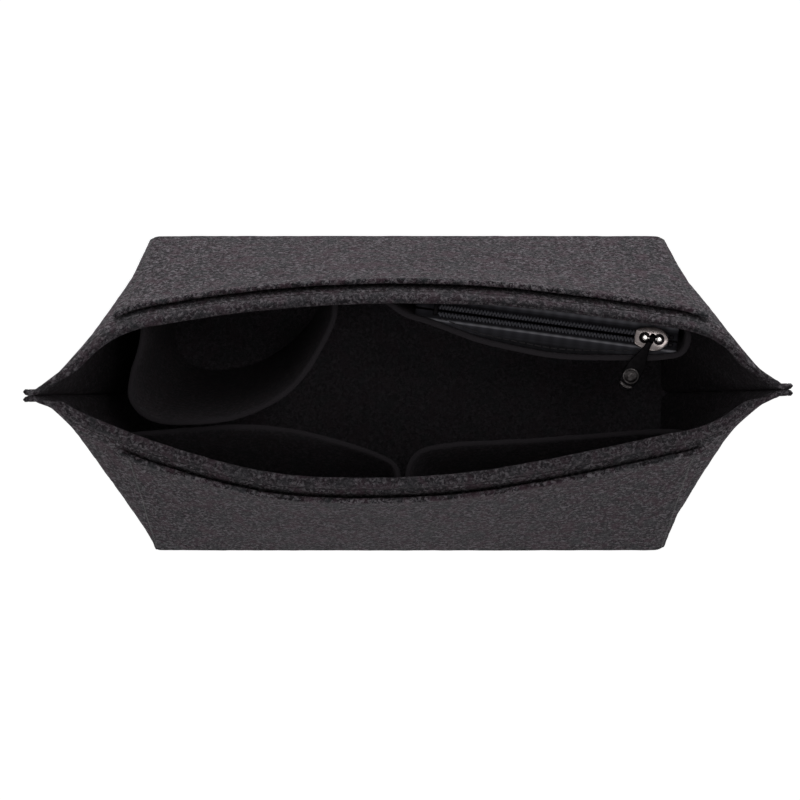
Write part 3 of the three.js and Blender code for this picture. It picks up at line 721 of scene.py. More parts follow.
def wall_piece(name, wall, seed):
    station = stations_between(-LAST_STATION, LAST_STATION)[None, :]
    away = np.abs(station)
    height = rim_height(wall, station)
    hem = hem_thickness(station)
    bend_end = LAST_STATION - 1
    splay = SEAM_SPLAY * smoothstep(away, bend_end, LAST_STATION)
    tip = (LAST_STATION - away) * (SEAM_ALLOWANCE - SEAM_BEND)
    thin = np.where(away > bend_end, FELT / 2 - rounded(tip, FELT / 2, SEAM_TIP_RADIUS), 0)
    # The two walls' inner faces meet where the side seam closes
    closed = SEAM_CLOSING * smoothstep(away, *SEAM_CLOSING_STATIONS)
    outward = splay - SEAM_NECK_PINCH * ridge(away, SEAM_NECK, SEAM_NECK_SPREAD) - thin - closed
    inward = splay + thin - closed
    # Rows from the foot upwards: height, and the offsets of the outer and the inner face
    rows = []
    for z in EDGE_RADIUS * EDGE_SHARES[:-1]:
        shrink = FELT / 2 - rounded(z, FELT / 2)
        rows.append((z, -shrink, shrink - FELT))
    top = height - HEM_ROWS[0][0] - 1
    for share in np.linspace(0, 1, WALL_ROWS):
        rows.append((mix(EDGE_RADIUS, top, share), 0, -FELT))
    for drop, turned in HEM_ROWS:
        dip = HEM_STITCH_DIP * ridge(drop, HEM_STITCH_DROP, HEM_STITCH_SPREAD)
        dip_inside = dip * (1 - smoothstep(away, *INNER_DIP_FADE))
        roll, roll_inside = hem_roll(wall, station, drop)
        inner = -FELT - (hem - FELT) * turned
        rows.append((height - drop, -dip - roll, inner + dip_inside - roll_inside))
    roll, roll_inside = hem_roll(wall, station, 0.0)
    for angle in HEM_ARC:
        turned = hem / 2 * (1 - math.cos(angle))
        z = height - hem / 2 * (1 - math.sin(angle))
        rows.append((z, -turned - roll, turned - hem - roll_inside))
    outer = np.concatenate([wall_point(wall, station, z, o + outward) for z, o, _ in rows])
    inner = np.concatenate([wall_point(wall, station, z, i + inward) for z, _, i in rows])
    drops = np.concatenate([height - z for z, _, _ in rows])
    # The hem's top takes part of the flat tone for a calmer grain; the inner faces below it take it as
    # painted shade
    hem_tone = HEM_TONE * (1 - smoothstep(drops, *HEM_TONE_DROPS))
    inner_shade = np.maximum(hem_tone, smoothstep(drops, *INNER_SHADE_DROPS))
    inside = np.concatenate([hem_tone, inner_shade])
    return felt_between(name, outer, inner, shell_felt, seed, inside=inside)


# The base ply: the station its tongues reach, its rows, how far its lower and upper edges are
# pressed into the walls, half its least width, and the lumps of its upper face
BASE_TONGUE = 3.85
BASE_ROWS = 84
BASE_BITES = (0.1, 0.2)
BASE_HALF_LEAST = 0.05
BASE_LUMP = 0.25
BASE_LUMP_LENGTH = 26


def base_piece():
    """The thick ply, with a tongue at each end that reaches into the foot of the side seam. The
    seam presses its edge a little into the walls' felt."""
    station = stations_between(-BASE_TONGUE, BASE_TONGUE)
    shares = np.linspace(0, 1, BASE_ROWS)[:, None, None]
    faces = []
    for height, bite in zip((0.0, BASE_FELT), BASE_BITES):
        lines = []
        for wall in (front, rear):
            line = wall_point(wall, station, height, bite - FELT)
            line[:, 1] = wall["side"] * np.maximum(wall["side"] * line[:, 1], BASE_HALF_LEAST)
            lines.append(line[None])
        faces.append(mix(*lines, shares))
    lower, upper = faces
    upper[..., 2] += BASE_LUMP * lattice_noise(upper, BASE_LUMP_LENGTH, seed=3)
    return felt_between("base_ply", upper, lower, shaded_base_felt, 21)


# Outer pockets: how far their side seams lie from the edge, the groove of those seams, the
# rounding of the edges, and the heights at which their length and their rows are measured
POCKET_SEAM = 3.2
POCKET_SEAM_DIP = 0.3
POCKET_SEAM_SPREAD = 0.7
POCKET_EDGE_RADIUS = 1.08
POCKET_MIDDLE = 80.0
POCKET_HEIGHT = 155.0
# How evenly their slack is spread along the mouth, and how late it rises towards the mouth
SLACK_EVENNESS = 0.3
SLACK_RISE = 8


def pocket_slack(wall, ends, station, height):
    """How far an outer pocket stands off its wall: mostly at its mouth."""
    end = np.where(station < 0, ends[0], ends[1])
    across = np.cos(math.pi / 2 * np.clip(station / end, -1, 1)) ** SLACK_EVENNESS
    mouth = rim_height(wall, station) - POCKET_DROP
    return (POCKET_MOUTH - PLY_GAP) * across * (height / mouth) ** SLACK_RISE


def pocket_stations(wall, ends):
    """Stations along an outer pocket, and how far each lies along it in the middle."""
    station = stations_between(*ends)
    return station, row_lengths(wall_point(wall, station, POCKET_MIDDLE, 0.0)[None])[0]


def outer_pocket_piece(name, wall, ends, seed):
    station, length = pocket_stations(wall, ends)
    places = graded(length[-1], POCKET_EDGE_RADIUS)
    station = np.interp(places, length, station)[None, :]
    side_distance = np.minimum(places, length[-1] - places)[None, :]
    seam_dip = POCKET_SEAM_DIP * ridge(side_distance, POCKET_SEAM, POCKET_SEAM_SPREAD)
    mouth = rim_height(wall, station) - POCKET_DROP
    outer, inner = [], []
    for share in graded(POCKET_HEIGHT, POCKET_EDGE_RADIUS) / POCKET_HEIGHT:
        z = share * mouth
        edge = np.minimum(np.minimum(z, mouth - z), side_distance)
        half = rounded(edge, FELT / 2, POCKET_EDGE_RADIUS)
        middle = PLY_GAP + pocket_slack(wall, ends, station, z) + FELT / 2
        outer.append(wall_point(wall, station, z, middle + half - seam_dip))
        inner.append(wall_point(wall, station, z, middle - half))
    return felt_between(name, np.concatenate(outer), np.concatenate(inner), shell_felt, seed)


# Felt inner strips


# Steps between two points of a strip's curve, and the shares of a flange that set its points
CURVE_STEPS = 24
FLANGE_BENDS = np.array([1, 0.5, 0])
# How far from a cut edge the felt takes the painted shade of the edge
CUT_SHADE_WIDTH = 1.0


def spaced_on_curve(points, shares):
    """Places at shares of the length of the centripetal curve through points, and that length."""
    p = np.vstack([2 * points[0] - points[1], points, 2 * points[-1] - points[-2]])
    dense = []
    for i in range(1, len(p) - 2):
        a, b, c, d = p[i - 1 : i + 3]
        k0, k1, k2 = (math.sqrt(np.linalg.norm(v)) for v in (b - a, c - b, d - c))
        start = ((b - a) / k0 - (c - a) / (k0 + k1) + (c - b) / k1) * k1
        end = ((c - b) / k1 - (d - b) / (k1 + k2) + (d - c) / k2) * k1
        dense.append(hermite(b, c, start, end, np.linspace(0, 1, CURVE_STEPS + 1)[:-1, None]))
    dense = np.vstack(dense + [points[-1:]])
    length = np.concatenate([[0], np.cumsum(np.linalg.norm(np.diff(dense, axis=0), axis=1))])
    at = shares * length[-1]
    return np.stack([np.interp(at, length, dense[:, i]) for i in range(2)], -1), length[-1]


FLANGE_STATIONS = FLANGE / (RIM_CORNER_X - RIM_CORNER_REACH)
WING_FLANGE_STATIONS = FLANGE / np.linalg.norm(front["rim"](2.0) - front["rim"](3.0))

BOTTLE_TOP_SHARES = [
    (-0.252, 0.76), (-0.298, 0.46), (-0.366, 0.155), (-0.438, -0.04), (-0.577, -0.232),
    (-0.75, -0.298), (-0.885, -0.255), (-0.948, -0.08), (-0.945, 0.18), (-0.918, 0.43),
]
BOTTLE_FOOT_SHARES = [
    (-0.275, 0.78), (-0.32, 0.6), (-0.39, 0.42), (-0.465, 0.3), (-0.6, 0.175),
    (-0.75, 0.14), (-0.855, 0.19), (-0.905, 0.32), (-0.91, 0.49), (-0.9, 0.66),
]
FRONT_LEFT_SHARES = [
    (-1.0, -0.43), (-0.88, -0.415), (-0.735, -0.382), (-0.577, -0.352), (-0.404, -0.397),
    (-0.231, -0.525), (-0.105, -0.655), (-0.045, -0.765),
]
FRONT_RIGHT_SHARES = [
    (0.008, -0.745), (0.042, -0.622), (0.115, -0.56), (0.424, -0.5), (0.77, -0.42),
    (0.9, -0.4), (0.995, -0.42),
]
ZIP_SHARES = [
    (-0.078, 0.905), (-0.01, 0.77), (0.075, 0.69), (0.251, 0.505), (0.38, 0.42), (0.51, 0.355),
    (0.727, 0.338), (0.87, 0.345), (0.93, 0.385), (0.952, 0.49), (0.955, 0.63),
]


def strip_shape(wall, start, end, start_flange, end_flange, floor, top, top_shares, foot_shares=None):
    """An upright strip of felt: a function that gives its middle line at a share of its height,
    at the given shares of its length, then its length, its floor and its top."""
    offset = -FELT - SEWN_GAP - FELT / 2

    def on_wall(station, height):
        return wall_point(wall, np.asarray(station, float), float(height), offset)[..., :2]

    def centre_line(height, shares, width, depth, along):
        first = on_wall(start + FLANGE_BENDS * start_flange, height)
        last = on_wall(end + FLANGE_BENDS[::-1] * end_flange, height)
        points = np.vstack([first, np.array(shares) * np.array([width, depth]), last])
        keep = [points[0]]
        for previous, point in zip(points, points[1:]):
            if np.linalg.norm(point - previous) > PLY_GAP:
                keep.append(point)
        return spaced_on_curve(np.array(keep), along)

    def top_line(along):
        return centre_line(top, top_shares, RIM_CORNER_X, wall["rim_depth"], along)

    def line_at(share, along):
        height = mix(floor, top, share)
        stations = mix(start + start_flange, end + end_flange, along)
        stand = top_line(along)[0] - on_wall(stations, top)
        if foot_shares is None:
            # The strip lies flat on the wall at its foot and swells away from it
            stand = stand * math.sin(math.pi / 2 * share)
        else:
            foot_line = centre_line(floor, foot_shares, BASE_LENGTH / 2, WALL_BASE_Y, along)[0]
            stand = mix(foot_line - on_wall(stations, floor), stand, share)
        return on_wall(stations, height) + stand, height

    return line_at, top_line(np.linspace(0, 1, 9))[1], floor, top


def strip_piece(name, shape, seed):
    line_at, length, floor, top = shape
    places = graded(length)
    middle, sideways, cut = [], [], []
    for row in graded(float(top - floor)):
        line, height = line_at(row / (top - floor), places / length)
        tangent = unit(np.gradient(line, places, axis=0))
        middle.append(np.column_stack([line, np.full(len(line), height)]))
        sideways.append(np.column_stack([-tangent[:, 1], tangent[:, 0], np.zeros(len(line))]))
        cut.append(np.minimum(np.minimum(places, length - places), min(row, top - floor - row)))
    middle, sideways, cut = np.array(middle), np.array(sideways), np.array(cut)
    half = rounded(cut, FELT / 2)[..., None]
    # Painted shade along the cut edges
    cut_shade = 1 - smoothstep(cut, 0.0, CUT_SHADE_WIDTH)
    return felt_between(name, middle + sideways * half, middle - sideways * half, inner_felt, seed, cut_shade)


pinch_half = (FELT + PINCH_GAP) / 2
panel_half = RIM_CORNER_X - RIM_CORNER_REACH
bottle_shape = strip_shape(
    rear, BOTTLE_START, BOTTLE_END, FLANGE_STATIONS, FLANGE_STATIONS, BASE_FELT + PLY_GAP, BOTTLE_TOP,
    BOTTLE_TOP_SHARES, BOTTLE_FOOT_SHARES,
)
front_left_shape = strip_shape(
    front, -FRONT_END, (PINCH_X - pinch_half) / panel_half, -WING_FLANGE_STATIONS, 0,
    FRONT_FLOOR, FRONT_TOP, FRONT_LEFT_SHARES,
)
front_right_shape = strip_shape(
    front, (PINCH_X + pinch_half) / panel_half, FRONT_END, 0, WING_FLANGE_STATIONS,
    FRONT_FLOOR, FRONT_TOP, FRONT_RIGHT_SHARES,
)
zip_shape = strip_shape(
    rear, ZIP_START, ZIP_END, -FLANGE_STATIONS, 0, ZIP_FLOOR, ZIP_HEIGHT + ZIP_LIP, ZIP_SHARES
)

# Zipper tapes

closed_end = np.array(ZIP_CLOSED) * [RIM_CORNER_X, rear["rim_depth"]]
open_end = np.array(ZIP_OPEN) * [RIM_CORNER_X, rear["rim_depth"]]
chain_along = unit(closed_end - open_end)
chain_side = np.array([-chain_along[1], chain_along[0]])

# The tapes: half their thickness, their grid, their wander, and the ridges of their cords, each with its
# distance from the middle of the chain and its height on the rear and the front tape
HALF_TAPE = 0.3
TAPE_GRID = (108, 61)
TAPE_WANDER = 0.12
TAPE_WANDER_LENGTH = 15
CORD_SPREAD = 0.4
CORDS = {1: [(4.0, 0.1), (7.0, 0.14)], -1: [(4.0, 0.3), (7.0, 0.14)]}


def to_chain(points):
    moved = points[..., :2] - closed_end
    return np.stack([moved @ chain_along, moved @ chain_side], -1)


def from_chain(x, y, z):
    plan = closed_end + x[..., None] * chain_along + y[..., None] * chain_side
    return np.concatenate([plan, np.broadcast_to(z, x.shape)[..., None]], -1)


def chain_reach(line, x):
    """How far a line lies from the chain, at places along the chain."""
    local = to_chain(line)
    order = np.argsort(local[:, 0])
    return np.interp(x, local[order, 0], local[order, 1])


def tape_piece(name, line, side):
    x = np.linspace(-TAPE_OPEN_REACH, TAPE_CLOSED_REACH, TAPE_GRID[0])
    shares = np.linspace(0, 1, TAPE_GRID[1])[:, None]
    y = mix(side * COIL_REACH[0], chain_reach(line, x)[None, :], shares)
    cords = sum(height * ridge(np.abs(y), place, CORD_SPREAD) for place, height in CORDS[side])
    along = np.broadcast_to(x[None, :], y.shape)
    wave = TAPE_WANDER * lattice_noise(from_chain(along, y, 0.0), TAPE_WANDER_LENGTH, seed=21)
    upper = from_chain(along, y, ZIP_HEIGHT + HALF_TAPE + cords + wave)
    lower = from_chain(along, y, ZIP_HEIGHT - HALF_TAPE + wave)
    return solid_between(name, upper, lower, tape_cloth, across=np.stack([along, y], -1))


wing_stations = stations_between(-WING_END, WING_END)
rear_line = wall_point(rear, wing_stations, float(ZIP_HEIGHT), -FELT - PLY_GAP)
zip_share = (ZIP_HEIGHT - ZIP_FLOOR) / (ZIP_HEIGHT + ZIP_LIP - ZIP_FLOOR)
zip_line = zip_shape[0](zip_share, np.linspace(0, 1, 400))[0]
zip_tangent = unit(np.gradient(zip_line, axis=0))
zip_line = zip_line + np.column_stack([-zip_tangent[:, 1], zip_tangent[:, 0]]) * (FELT / 2 + PLY_GAP)
zip_line = zip_line[to_chain(zip_line)[:, 1] < -CHAIN_GAP]

# Smooth metal parts


def to_world(points):
    """Points of the zipper's frame, in millimetres, in the object's frame."""
    return from_chain(points[..., 0], points[..., 1], points[..., 2] + ZIP_HEIGHT)


def lofted(loops, closed=False):
    """Vertices and faces of a closed skin through loops with the same number of points."""
    loops = np.array(loops, float)
    rings, count = loops.shape[:2]
    index = np.arange(rings * count).reshape(rings, count)
    if closed:
        index = np.vstack([index, index[:1]])
    a, b = index[:-1], index[1:]
    following = np.roll(a, -1, axis=1), np.roll(b, -1, axis=1)
    faces = np.stack([a, following[0], following[1], b], -1).reshape(-1, 4).tolist()
    if not closed:
        faces += [index[0, ::-1].tolist(), index[-1].tolist()]
    return loops.reshape(-1, 3), faces


def metal_piece(name, skins, material, place):
    """One mesh from several closed skins, placed in the object's frame."""
    vertices, faces = [], []
    for points, skin_faces in skins:
        first = sum(len(v) for v in vertices)
        fan = np.array([[f[0], f[i], f[i + 1]] for f in skin_faces for i in range(1, len(f) - 1)])
        corner = points[fan]
        volume = np.einsum("ij,ij->i", corner[:, 0], np.cross(corner[:, 1], corner[:, 2])).sum()
        faces += [[first + i for i in (f if volume > 0 else f[::-1])] for f in skin_faces]
        vertices.append(points)
    points = np.vstack(vertices)
    mesh = mesh_from(name, place(points) * MM, faces)
    return link(name, mesh, [material])


def bezier(points, count=16):
    """Even shares along a curve with three or four control points, without its last point."""
    points = np.array(points, float)[:, None, :]
    t = np.linspace(0, 1, count + 1)[:-1, None]
    while len(points) > 1:
        points = points[:-1] * (1 - t) + points[1:] * t
    return points[0]


def inset(loop, amount):
    """A level loop moved inwards; the loop runs counter-clockwise."""
    tangent = unit(np.roll(loop, -1, axis=0) - np.roll(loop, 1, axis=0))
    return loop + amount * np.stack([-tangent[:, 1], tangent[:, 0]], -1)


def level(loop, height):
    return np.column_stack([loop, np.full(len(loop), float(height))])


def full_turn(count):
    """Even angles once round."""
    return np.linspace(0, 2 * math.pi, count + 1)[:-1]


QUARTER_TURN = np.radians([0, 30, 60, 90])
DOME_SHARES = np.linspace(0.94, 0.03, 22)


def plate_edge(loop, foot, top, edge):
    """Loops of a plate with rounded edges."""
    loops = []
    for face, way, turns in ((foot, 1, QUARTER_TURN), (top, -1, QUARTER_TURN[::-1])):
        for a in turns:
            height = face + way * edge * (1 - math.cos(a))
            loops.append(level(inset(loop, edge * (1 - math.sin(a))), height))
    return loops


def slab(loop, foot, top, edge, dome=0.0):
    """Loops of a plate with rounded edges and a faintly domed top."""
    loops = plate_edge(loop, foot, top, edge)
    middle = loop.mean(axis=0)
    for share in DOME_SHARES:
        loops.append(level(middle + (inset(loop, edge) - middle) * share, top + dome * (1 - share**2)))
    return loops


def rounded_rectangle(x, y, width, depth, radius):
    points = []
    for side_x, side_y, start in [(1, 1, 0), (-1, 1, 90), (-1, -1, 180), (1, -1, 270)]:
        corner_x = x + side_x * (width / 2 - radius)
        corner_y = y + side_y * (depth / 2 - radius)
        for angle in np.radians(np.linspace(start, start + 90, 5)):
            points.append((corner_x + radius * math.cos(angle), corner_y + radius * math.sin(angle)))
    return np.array(points)


TAPE_THICKNESS = 0.7
COIL_WIDTH = 1.5
COIL_HEIGHT = 1.3
RUNNING_GAP = 0.3
SLIDER_LENGTH = 13.4
SLIDER_WIDTH = 9.7
SLIDER_TAIL = 5.6
PLATE = 1.1
PLATE_CLEARANCE = 0.35
UPPER_EDGE = 0.35
UPPER_DOME = 0.45
LOWER_EDGE = 0.3
# The slider's side guides and its neck: place, size, how far they are sunk into the plates,
# and the rounding of their corners and edges
LOWER_GUIDE = 0.9
GUIDE_Y = 3.6
GUIDE_WIDTH = 2.0
GUIDE_SINK = 0.55
GUIDE_CORNER = 0.4
GUIDE_EDGE = 0.2
NECK_LENGTH = 4
NECK_WIDTH = 0.7
NECK_SINK = 0.5
NECK_CORNER = 0.25
NECK_EDGE = 0.1
TRAVEL = 80
STOP_LENGTH = 1.8
STOP_HEIGHT = 1.5
STOP_SINK = 0.25
STOP_EDGE = 0.3
POST_SPACING = 5.8
BAR_DIAMETER = 1.3
EYE_BORE = 2.5
EYE_WALL = 0.7
EYE_LENGTH = 2.2
EYE_CORNER = 0.25
# The pull: its size, its edges, and how it lies, dropped from the bar and turned aside
PULL_LENGTH = 24.4
PULL_WIDTH = 7.4
PULL_NECK = 2.2
PULL_THICKNESS = 1.2
PULL_EDGE = 0.35
PULL_DROP = 14
PULL_TURN = -21
# Where the pull's outline bends, as shares of its length, and how broad its end is
PULL_BENDS = (0.3, 0.38, 0.62, 0.9)
PULL_END_SHARE = 0.7
RIVET = 6.6
# The bright lip at the pull's end: the rivet's distance from the end without the gap, half the
# angle that the lip spans, its distance from the rivet's middle, its half width and its height
LIP_ROOM = 0.65 + 2.6
LIP_ARC = 38
LIP_REACH = 4.75
LIP_HALF = 0.95
LIP_RISE = 0.2
LIP_FLATNESS = 0.9

tape_top = TAPE_THICKNESS / 2 + RUNNING_GAP
lower_plate_top = -TAPE_THICKNESS / 2 - PLATE_CLEARANCE - LOWER_GUIDE
upper_plate_foot = tape_top + COIL_HEIGHT + PLATE_CLEARANCE
upper_plate_top = upper_plate_foot + PLATE
bar_height = upper_plate_top + EYE_BORE / 2 + EYE_WALL + RUNNING_GAP

# The slider's outline seen from above: a narrow tail, a broad shoulder and a pointed nose
half_length, half_width, tail, nose = SLIDER_LENGTH / 2, SLIDER_WIDTH / 2, SLIDER_TAIL / 2, 0.9
shoulder, tail_bend, nose_bend = half_length * 0.15, -half_length * 0.55, half_length * 0.7
leaf = np.vstack(
    [
        bezier([(-half_length, -tail), (tail_bend, -half_width), (shoulder, -half_width)]),
        bezier([(shoulder, -half_width), (nose_bend, -half_width), (half_length, -nose)]),
        bezier([(half_length, -nose), (half_length + 0.25, 0), (half_length, nose)], 8),
        bezier([(half_length, nose), (nose_bend, half_width), (shoulder, half_width)]),
        bezier([(shoulder, half_width), (tail_bend, half_width), (-half_length, tail)]),
        bezier([(-half_length, tail), (-half_length - 0.3, 0), (-half_length, -tail)], 12),
    ]
)
guides = [
    lofted(slab(loop, foot, top, GUIDE_EDGE))
    for loop in (
        rounded_rectangle(0, side * GUIDE_Y, half_length, GUIDE_WIDTH, GUIDE_CORNER)
        for side in (1, -1)
    )
    for foot, top in [
        (lower_plate_top - GUIDE_SINK, lower_plate_top + LOWER_GUIDE),
        (tape_top + RUNNING_GAP, upper_plate_foot + GUIDE_SINK),
    ]
]
neck_loop = rounded_rectangle(SLIDER_LENGTH / 4, 0, NECK_LENGTH, NECK_WIDTH, NECK_CORNER)
neck = lofted(slab(neck_loop, lower_plate_top - NECK_SINK, upper_plate_foot + NECK_SINK, NECK_EDGE))

post_places = np.array([[-POST_SPACING / 2, 0], [POST_SPACING / 2, 0]])
post_feet = to_world(np.column_stack([post_places, [upper_plate_top + POST_SHADE_LIFT] * 2])) * MM
# The slider's plate takes rings of painted shade round the posts' feet
plate_nickel = metal_material(
    "nickel_plated_slider_plate", "#ebdfdd", "#c4b4b1", 0.14, 0.24, post_feet
)
slider_piece = metal_piece(
    "slider_body_cast",
    [
        lofted(slab(leaf, upper_plate_foot, upper_plate_top, UPPER_EDGE, UPPER_DOME)),
        lofted(slab(leaf, lower_plate_top - PLATE, lower_plate_top, LOWER_EDGE)),
        neck,
        *guides,
    ],
    plate_nickel,
    to_world,
)

around = full_turn(24)
ring = np.stack([np.cos(around), np.sin(around)], -1)
post_top = bar_height + BAR_DIAMETER / 2
# The posts' outline: radius, and height over the plate and then over the posts' tops
POST_FOOT = [(1.5, -0.25), (1.32, 0), (1.18, 0.35), (1.15, 0.8)]
POST_HEAD = [
    (1.15, -0.45), (1.14, -0.2), (1.08, -0.06), (0.98, 0), (0.7, 0.02), (0.35, 0.03), (0.04, 0.032)
]
post_profile = [(radius, upper_plate_top + rise) for radius, rise in POST_FOOT]
post_profile += [(radius, post_top + rise) for radius, rise in POST_HEAD]
posts = [lofted([level(ring * radius + place, z) for radius, z in post_profile]) for place in post_places]
bar_ring = ring * BAR_DIAMETER / 2 + [0, bar_height]
bar_loops = [
    np.column_stack([np.full(len(ring), x), bar_ring])
    for x in np.linspace(-POST_SPACING / 2, POST_SPACING / 2, 7)
]
crown_piece = metal_piece("slider_crown_cast", [*posts, lofted(bar_loops)], nickel, to_world)

# The pull's own frame: its eye round X at the bar, its length down -Y
drop, turn = math.radians(PULL_DROP), math.radians(PULL_TURN)
drop_turn = np.array(
    [[1, 0, 0], [0, math.cos(drop), -math.sin(drop)], [0, math.sin(drop), math.cos(drop)]]
)
side_turn = np.array(
    [[math.cos(turn), -math.sin(turn), 0], [math.sin(turn), math.cos(turn), 0], [0, 0, 1]]
)
pull_turn = drop_turn @ side_turn


def pull_to_world(points):
    return to_world(points @ pull_turn.T + [0, 0, bar_height])


root = EYE_BORE / 2 + EYE_WALL / 2
neck_half, broad_half, end_half = PULL_NECK / 2, PULL_WIDTH / 2, PULL_WIDTH / 2 * PULL_END_SHARE
neck_y, flare_y, broad_y, end_y = (-PULL_LENGTH * share for share in PULL_BENDS)
# Down the left side and half the end; the right side mirrors it
flare = [(-neck_half, -root), (-neck_half, neck_y), (-broad_half, flare_y), (-broad_half, broad_y)]
end = [(-broad_half, broad_y), (-broad_half, end_y), (-end_half, -PULL_LENGTH), (0, -PULL_LENGTH)]
pull_outline = np.vstack(
    [
        bezier(flare, 24),
        bezier(end, 16),
        bezier([(-x, y) for x, y in end[::-1]], 16),
        bezier([(-x, y) for x, y in flare[::-1]], 24),
        bezier([(neck_half, -root), (0, -root + 0.2), (-neck_half, -root)], 6),
    ]
)
half_plate = PULL_THICKNESS / 2
pull_loops = plate_edge(pull_outline, -half_plate, half_plate, PULL_EDGE)
eye_profile = rounded_rectangle(0, root, EYE_LENGTH, EYE_WALL, EYE_CORNER)
eye_loops = [
    np.column_stack([eye_profile[:, 0], eye_profile[:, 1] * math.cos(a), eye_profile[:, 1] * math.sin(a)])
    for a in full_turn(40)
]
pull_piece = metal_piece(
    "pull_plate", [lofted(pull_loops), lofted(eye_loops, True)], gunmetal, pull_to_world
)

rivet_y = LIP_ROOM + RUNNING_GAP + RIVET / 2 - PULL_LENGTH
# The rivet's outline: radius, and height over the pull's face
RIVET_PROFILE = [
    (3.3, -0.1), (3.3, 0.25), (3.2, 0.42), (2.98, 0.5), (2.8, 0.42), (2.7, 0.5), (2.55, 0.72),
    (2.25, 0.98), (1.85, 1.2), (1.35, 1.38), (0.8, 1.5), (0.3, 1.55), (0.03, 1.56),
]
rivet_loops = [level(ring * radius + [0, rivet_y], half_plate + rise) for radius, rise in RIVET_PROFILE]
rivet_piece = metal_piece("pull_rivet_domed", [lofted(rivet_loops)], rivet_nickel, pull_to_world)

# The lip at the pull's end: a crescent round the rivet
crescent_loops = []
for angle in np.radians(np.linspace(-90 - LIP_ARC, -90 + LIP_ARC, 23)):
    share = abs(math.degrees(angle) + 90) / LIP_ARC
    radius = LIP_HALF * math.sqrt(max(1 - share**3, 0.02))
    out = np.array([math.cos(angle), math.sin(angle)])
    place = np.array([0, rivet_y]) + out * LIP_REACH
    height = half_plate + LIP_RISE + ring[:, 1] * radius * LIP_FLATNESS
    crescent_loops.append(np.column_stack([place + ring[:, :1] * radius * out, height]))
lip_piece = metal_piece("pull_end_lip", [lofted(crescent_loops)], rivet_nickel, pull_to_world)


def stop_piece(name, x, y, width):
    """A stop pressed over the coil, with rounded edges."""
    loop = rounded_rectangle(x, y, STOP_LENGTH, width, STOP_EDGE)
    loops = slab(loop, tape_top - STOP_SINK, tape_top + STOP_HEIGHT, STOP_EDGE)
    return metal_piece(name, [lofted(loops)], gunmetal, to_world)


chain_end = SLIDER_LENGTH / 2
open_stop_x = -TRAVEL - SLIDER_LENGTH / 2 - RUNNING_GAP - STOP_LENGTH / 2
chain_start = open_stop_x + STOP_LENGTH / 2 + RUNNING_GAP
coil_y = CHAIN_GAP / 2 + COIL_WIDTH / 2
top_stop_x = chain_end + RUNNING_GAP + STOP_LENGTH / 2
rear_stop = stop_piece("rear_top_stop", top_stop_x, coil_y, COIL_WIDTH)
front_stop = stop_piece("front_top_stop", top_stop_x, -coil_y, COIL_WIDTH)
bottom_stop = stop_piece("bottom_stop_pressed", open_stop_x, 0, CHAIN_GAP + 2 * COIL_WIDTH)

# Coil teeth and stitches, grown by node trees


def new_tree(name, sockets):
    """A geometry tree with a mesh input and the named inputs; returns it with its inputs and its
    result socket."""
    tree = bpy.data.node_groups.new(name, "GeometryNodeTree")
    tree.interface.new_socket("Geometry", in_out="OUTPUT", socket_type="NodeSocketGeometry")
    tree.interface.new_socket("Geometry", in_out="INPUT", socket_type="NodeSocketGeometry")
    for socket_name, kind in sockets.items():
        tree.interface.new_socket(socket_name, in_out="INPUT", socket_type="NodeSocket" + kind)
    given = tree.nodes.new("NodeGroupInput").outputs
    result = tree.nodes.new("NodeGroupOutput").inputs[0]
    return tree, given, result


def add_tube(tree, curve, radius):
    """A thread or a filament along a curve."""
    tube_ring = add_output(tree, "GeometryNodeCurvePrimitiveCircle", {"Resolution": 6, "Radius": radius})
    tube = {"Curve": curve, "Profile Curve": tube_ring, "Fill Caps": True}
    return add_output(tree, "GeometryNodeCurveToMesh", tube)


def finish_tree(tree, result, geometry, material):
    """Ends a tree with plain geometry in one material."""
    realized = add_output(tree, "GeometryNodeRealizeInstances", {"Geometry": geometry})
    coloured = {"Geometry": realized, "Material": material}
    tree.links.new(add_output(tree, "GeometryNodeSetMaterial", coloured), result)


def grown(name, tree, start, values):
    """The plain mesh that a tree makes from a starting mesh."""
    seed_object = link(name + "_start", start)
    modifier = seed_object.modifiers.new("grow", "NODES")
    modifier.node_group = tree
    for item in tree.interface.items_tree:
        if item.in_out == "INPUT" and item.name in values:
            modifier[item.identifier] = values[item.name]
    bpy.context.view_layer.update()
    graph = bpy.context.evaluated_depsgraph_get()
    mesh = bpy.data.meshes.new_from_object(seed_object.evaluated_get(graph), depsgraph=graph)
    bpy.data.objects.remove(seed_object)
    bpy.data.meshes.remove(start)
    mesh.name = name
    mesh.polygons.foreach_set("use_smooth", np.full(len(mesh.polygons), True))
    return link(name, mesh)


# A row of coil teeth: one nylon filament wound flat
coil_tree, given, result = new_tree(
    "coil_teeth",
    {
        "Turns": "Float",
        "Length": "Float",
        "Half Width": "Float",
        "Half Height": "Float",
        "Filament Radius": "Float",
        "Filament": "Material",
    },
)
turns = {"Resolution": 14, "Rotations": given["Turns"], "Start Radius": 1.0, "End Radius": 1.0}
winding = add_output(coil_tree, "GeometryNodeCurveSpiral", {**turns, "Height": given["Length"]})
flat_scale = add_output(
    coil_tree, "ShaderNodeCombineXYZ", {"X": given["Half Height"], "Y": given["Half Width"], "Z": 1.0}
)
flattened = add_output(coil_tree, "GeometryNodeTransform", {"Geometry": winding, "Scale": flat_scale})
laid = add_output(
    coil_tree, "GeometryNodeTransform", {"Geometry": flattened, "Rotation": (0.0, math.pi / 2, 0.0)}
)
finish_tree(coil_tree, result, add_tube(coil_tree, laid, given["Filament Radius"]), given["Filament"])


